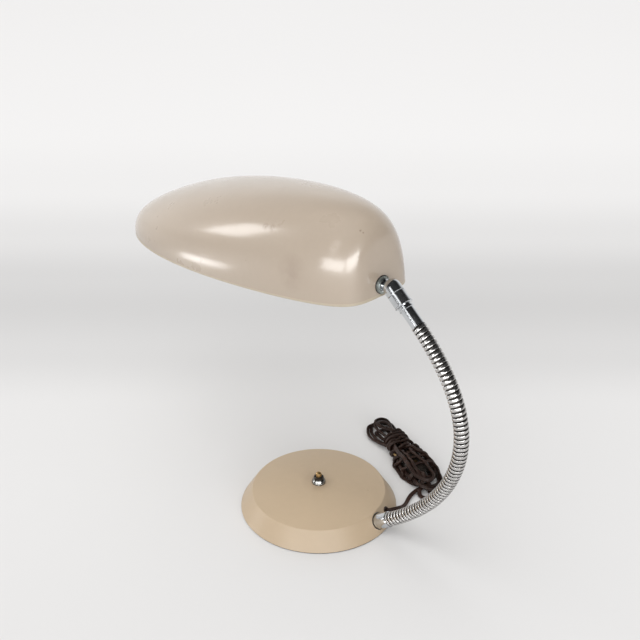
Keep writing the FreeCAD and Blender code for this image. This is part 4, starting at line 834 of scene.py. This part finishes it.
softbox("front", (0.045, -0.015, 0.298), 28, 9, 1.9, (1.35, 0.60), 9.5, glossy=False)
softbox("key", (0.045, -0.015, 0.298), 14, 5, 1.7, (1.34, 0.42), 19, diffuse=False)
softbox("key_left", (0.030, -0.024, 0.298), -30, 4, 1.7, (1.25, 0.34), 13.5, diffuse=False)
softbox("side", (-0.080, -0.018, 0.300), -97, 21, 1.5, (0.36, 0.42), 3.7, diffuse=False)
softbox("low_side", (-0.12, -0.028, 0.256), -91, -17.0, 0.70, (0.20, 0.07), 0.42, diffuse=False)
softbox("card", (0.06, 0.0, 0.20), -42, 30, 1.6, (0.34, 0.55), 1.0, diffuse=False)
softbox("top", (0.0, 0.0, 0.0), -60, 62, 2.2, (1.6, 1.6), 5, glossy=False)
w = bpy.data.worlds.new("studio")
bpy.context.scene.world = w
w.use_nodes = True
t = w.node_tree
t.nodes.clear()
out = t.nodes.new("ShaderNodeOutputWorld")
soft = t.nodes.new("ShaderNodeBackground")
room = t.nodes.new("ShaderNodeBackground")
pick = t.nodes.new("ShaderNodeMixShader")
lp = t.nodes.new("ShaderNodeLightPath")
t.links.new(lp.outputs["Is Glossy Ray"], pick.inputs[0])
t.links.new(soft.outputs[0], pick.inputs[1])
t.links.new(room.outputs[0], pick.inputs[2])
seen = t.nodes.new("ShaderNodeBackground")
seen.inputs["Color"].default_value = (0.86, 0.86, 0.86, 1)
last = t.nodes.new("ShaderNodeMixShader")
t.links.new(lp.outputs["Is Camera Ray"], last.inputs[0])
t.links.new(pick.outputs[0], last.inputs[1])
t.links.new(seen.outputs[0], last.inputs[2])
t.links.new(last.outputs[0], out.inputs[0])
tc = t.nodes.new("ShaderNodeTexCoord")


def w_dot(vec):
    n = t.nodes.new("ShaderNodeVectorMath")
    n.operation = 'DOT_PRODUCT'
    t.links.new(tc.outputs["Generated"], n.inputs[0])
    n.inputs[1].default_value = vec
    return n.outputs["Value"]


def w_step(value, lo, hi, a, b):
    n = t.nodes.new("ShaderNodeMapRange")
    n.interpolation_type = 'SMOOTHSTEP'
    t.links.new(value, n.inputs["Value"])
    for k, v in (("From Min", lo), ("From Max", hi), ("To Min", a), ("To Max", b)):
        n.inputs[k].default_value = v
    return n.outputs["Result"]


def w_math(op, a, b):
    n = t.nodes.new("ShaderNodeMath")
    n.operation = op
    for v, i in ((a, 0), (b, 1)):
        if isinstance(v, (int, float)):
            n.inputs[i].default_value = v
        else:
            t.links.new(v, n.inputs[i])
    return n.outputs[0]


def w_grey(value):
    n = t.nodes.new("ShaderNodeCombineColor")
    for i in range(3):
        t.links.new(value, n.inputs[i])
    return n.outputs[0]


sky = w_dot((0, 0, 1))
even = w_math('MULTIPLY', w_math('MULTIPLY', w_step(w_dot(tuple(c_r)), -0.35, 0.85, 1.0, 0.20), w_step(w_dot(tuple(c_r)), -1.0, -0.2, 0.74, 1.0)),
              w_step(sky, 0.0, 0.9, 0.98, 1.66))
t.links.new(w_grey(even), soft.inputs["Color"])
back = w_math('MULTIPLY', w_step(w_dot(tuple(AWAY)), 0.05, 0.75, 0.0, 0.85), w_step(sky, 0.25, 0.75, 1.0, 0.0))
left = w_math('MULTIPLY', w_step(w_dot(tuple(-c_r)), 0.45, 0.95, 0.0, 0.30), w_step(sky, 0.1, 0.6, 1.0, 0.0))
t.links.new(w_grey(w_math('ADD', w_math('ADD', back, left), 0.02)), room.inputs["Color"])
